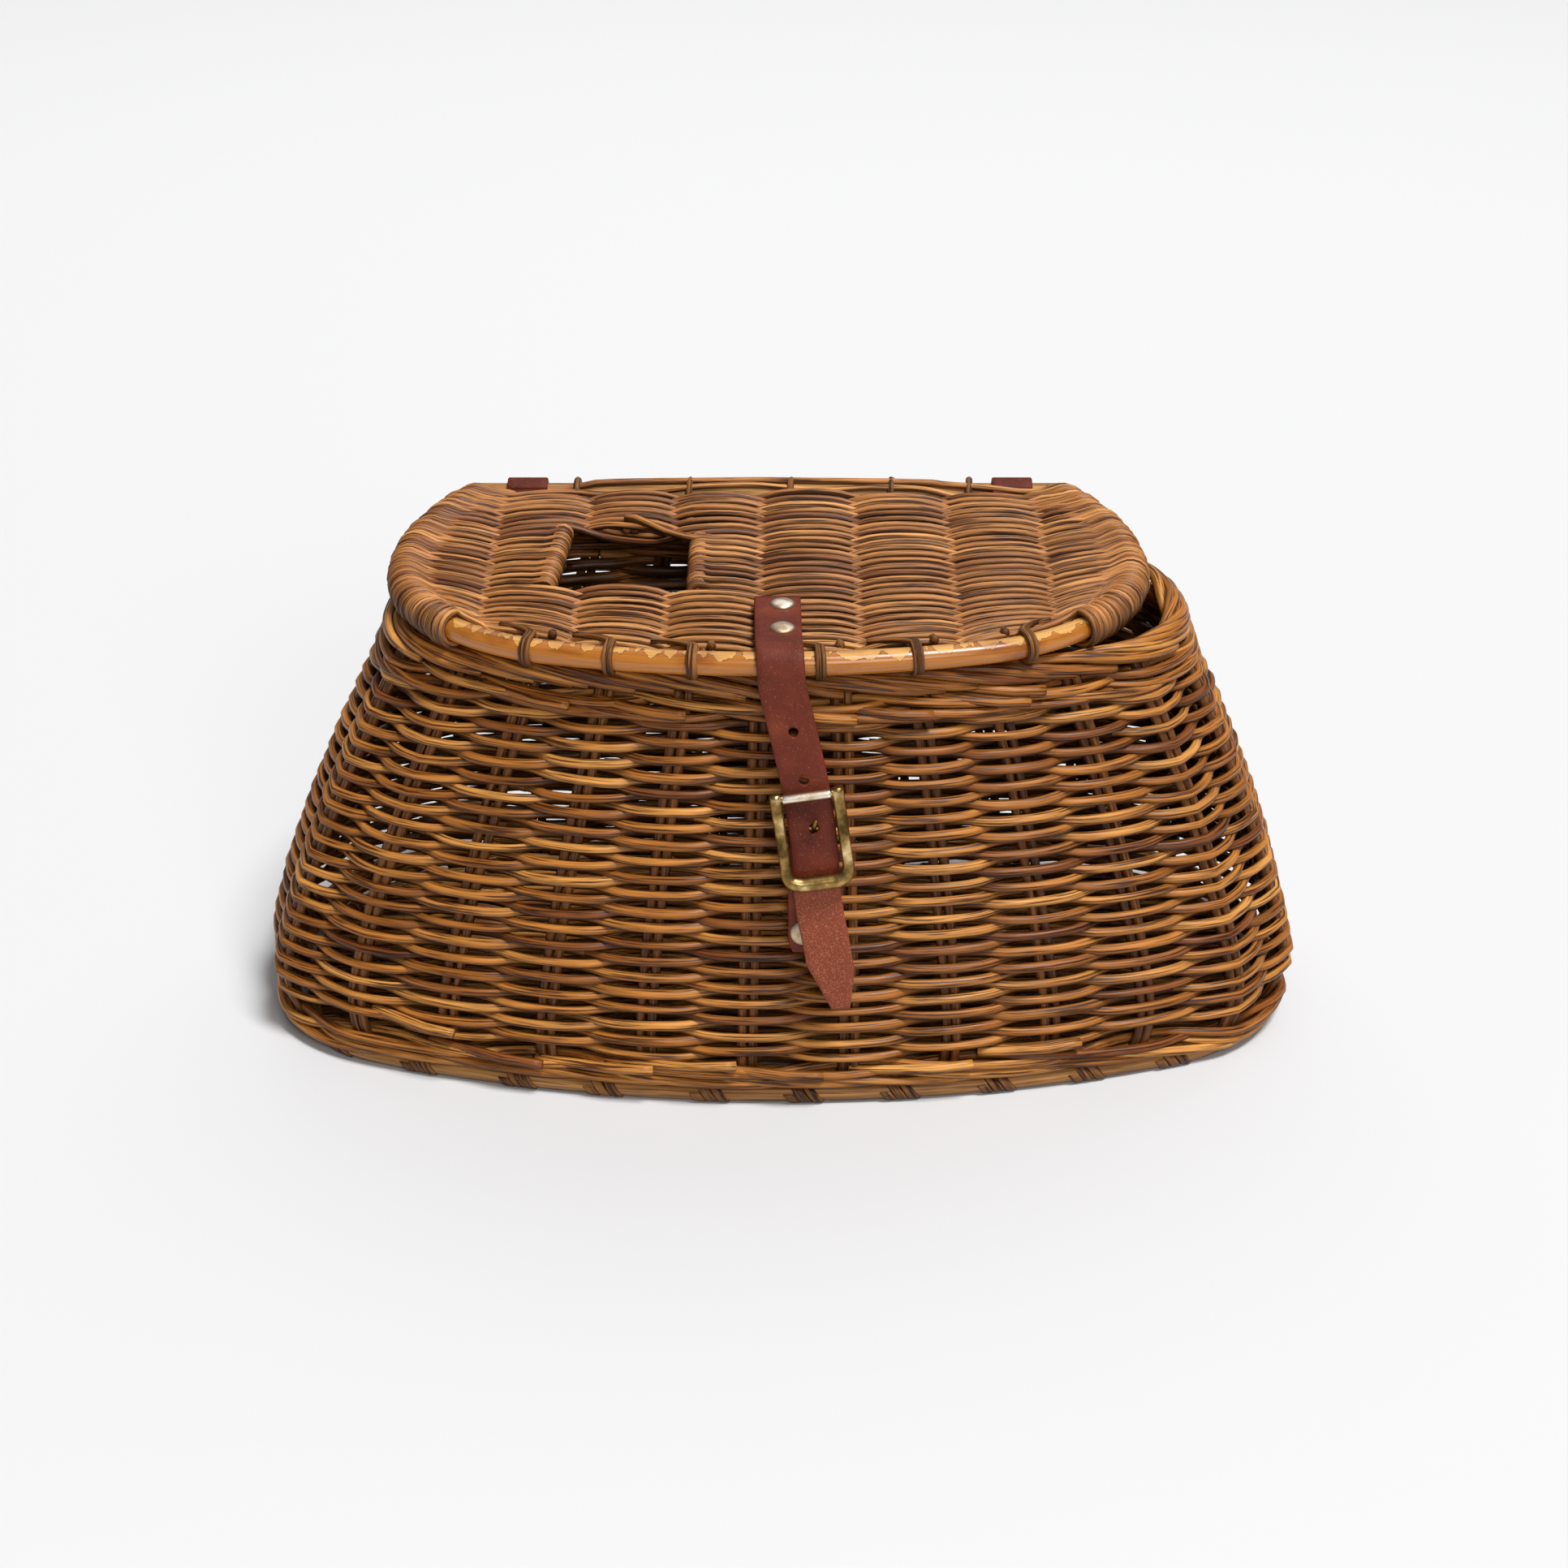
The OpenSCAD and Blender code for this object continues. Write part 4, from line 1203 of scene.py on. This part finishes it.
# the frame: down one side, round the bottom and up the other, thickest along the bottom
halfShape = [(-h, top - 1.7, n), (-h, top + 4, n), (-h, 50, n), (-h, 57, n + 0.15), (-h, 63, n),
             (-h, low - c, n), (-h + c * 0.3, low - c * 0.3, n), (-h + c, low, n), (-3, low + 0.15, n)]
halfThick = [2.1, 2.1, 1.95, 1.9, 1.9, 2.1, 2.4, 2.55, 2.6]
uShape = [(u + m, s, v) for u, s, v in halfShape] + [(-u + m, s, v) for u, s, v in halfShape[::-1]]
thicks = halfThick + halfThick[::-1]
framePiece = strapRod("buckle_frame_bar", uShape, thicks, 18, brass, "buckle")
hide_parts("buckle_frame")
for side in (-1, 1):
    name = "buckle_lug_left" if side < 0 else "buckle_lug_right"
    lugPoints = [(side * h + m, bar, out) for out in (n, 1.5, 0, -2, -4.2)]
    lug = strapRod(name, lugPoints, [1.5, 1.45, 1.45, 1.45, 1.4], 14, brass, "buckle", 3)
    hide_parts("buckle_frame")
barPiece = strapRod("centre_bar_rod", [(u, bar, barOut) for u in (-10, -4, 4, 12)], [0.8, 0.8], 14, brass,
                    "buckle", 3)
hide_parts("centre_bar")
pinPiece = strapRod("roller_pin_rod", [(u, top, n) for u in (-10.8, -4, 4, 12.8)],
                    [0.95, 0.75, 0.75, 0.95], 14, brass, "buckle", 3)
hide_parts("roller_pin")
rollerPiece = strapRod("roller_tube", [(u, top, n) for u in (-6.9, -6.7, 1, 8.5, 8.7)],
                       [1.25, 1.5, 1.5, 1.5, 1.25], 20, nickel, "roller", 4)
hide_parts("roller")
prongShape = [(1.6, bar, barOut), (1.6, 55, -3.3), (1.6, 53, -2.8), (1.6, 52.1, -0.6), (1.8, 51.4, 1.4),
              (2.2, 50.0, 2.9), (2.9, 48.4, 3.9)]
prongPiece = strapRod("prong_pin", prongShape, [0.9, 0.9, 0.9, 0.85, 0.85, 0.8, 0.55], 14, brass, "prong", 5)
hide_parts("prong")
# the burrs on the rivets' backs are plain discs, and take the rivets' plating
for node in ("strap_burrs", "chape_burr"):
    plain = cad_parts[node]
    for slotItem in plain.material_slots:
        slotItem.material = nickel
print("stage: metal")

# pale floor, soft light from above and behind, a weaker card in front
look = dict(floor="#e5e5e6", world=0.11, room=0.9)
floorMaterial, tree = newMaterial("pale paper floor")
shader = addNode(tree, "ShaderNodeBsdfPrincipled",
                 {"Base Color": hexColour(look["floor"]), "Roughness": 0.9, "Specular IOR Level": 0.1})
finishMaterial(tree, shader)
bpy.ops.mesh.primitive_plane_add(size=12, location=(0, 2, -0.0004))
floorPlane = bpy.context.object
floorPlane.name = "floor"
floorPlane.data.materials.append(floorMaterial)

world = bpy.data.worlds.new("soft room")
bpy.context.scene.world = world
world.use_nodes = True
world.node_tree.nodes["Background"].inputs["Color"].default_value = (1, 1, 1, 1)
# the room is seen pale, but gives only a little light
rays = addNode(world.node_tree, "ShaderNodeLightPath")
strength = addNode(world.node_tree, "ShaderNodeMapRange",
                   {"Value": (rays, "Is Camera Ray"), "To Min": look["world"], "To Max": look["room"]})
world.node_tree.links.new(strength.outputs["Result"], world.node_tree.nodes["Background"].inputs["Strength"])


def softbox(name, place, target, size, power):
    light = bpy.data.lights.new(name, "AREA")
    light.shape = "RECTANGLE"
    light.size, light.size_y = size
    light.energy = power
    made = bpy.data.objects.new(name, light)
    made.location = place
    made.rotation_euler = (Vector(target) - Vector(place)).to_track_quat("-Z", "Y").to_euler()
    bpy.context.scene.collection.objects.link(made)


window = dict(energy=2.7, angle=18, heading=(-0.32, 0.24, -1))
sun = bpy.data.lights.new("high window light", "SUN")
sun.energy = window["energy"]
sun.angle = math.radians(window["angle"])
sunObject = bpy.data.objects.new("high window light", sun)
sunObject.rotation_euler = Vector(window["heading"]).to_track_quat("-Z", "Y").to_euler()
bpy.context.scene.collection.objects.link(sunObject)
softbox("overhead softbox", (0.2, 1.2, 1.7), (0, 0, 0.1), (2.6, 1.5), 12)
softbox("front card", (0.5, -2.0, 1.35), (0, 0, 0.1), (1.1, 0.7), 15)

view = dict(elevation=27.0, distance=1.18, aim=(0.0015, 0.0, 0.0772), lens=74.2)
camera = bpy.data.cameras.new("camera")
camera.lens = view["lens"]
camera.sensor_width = 36
cameraObject = bpy.data.objects.new("camera", camera)
tilt = math.radians(view["elevation"])
aim = Vector(view["aim"])
cameraObject.location = aim + Vector((0, -math.cos(tilt), math.sin(tilt))) * view["distance"]
cameraObject.rotation_euler = (math.pi / 2 - tilt, 0, 0)
bpy.context.scene.collection.objects.link(cameraObject)
bpy.context.scene.camera = cameraObject
bpy.context.scene.view_settings.view_transform = "Standard"
print("stage: lights and camera")
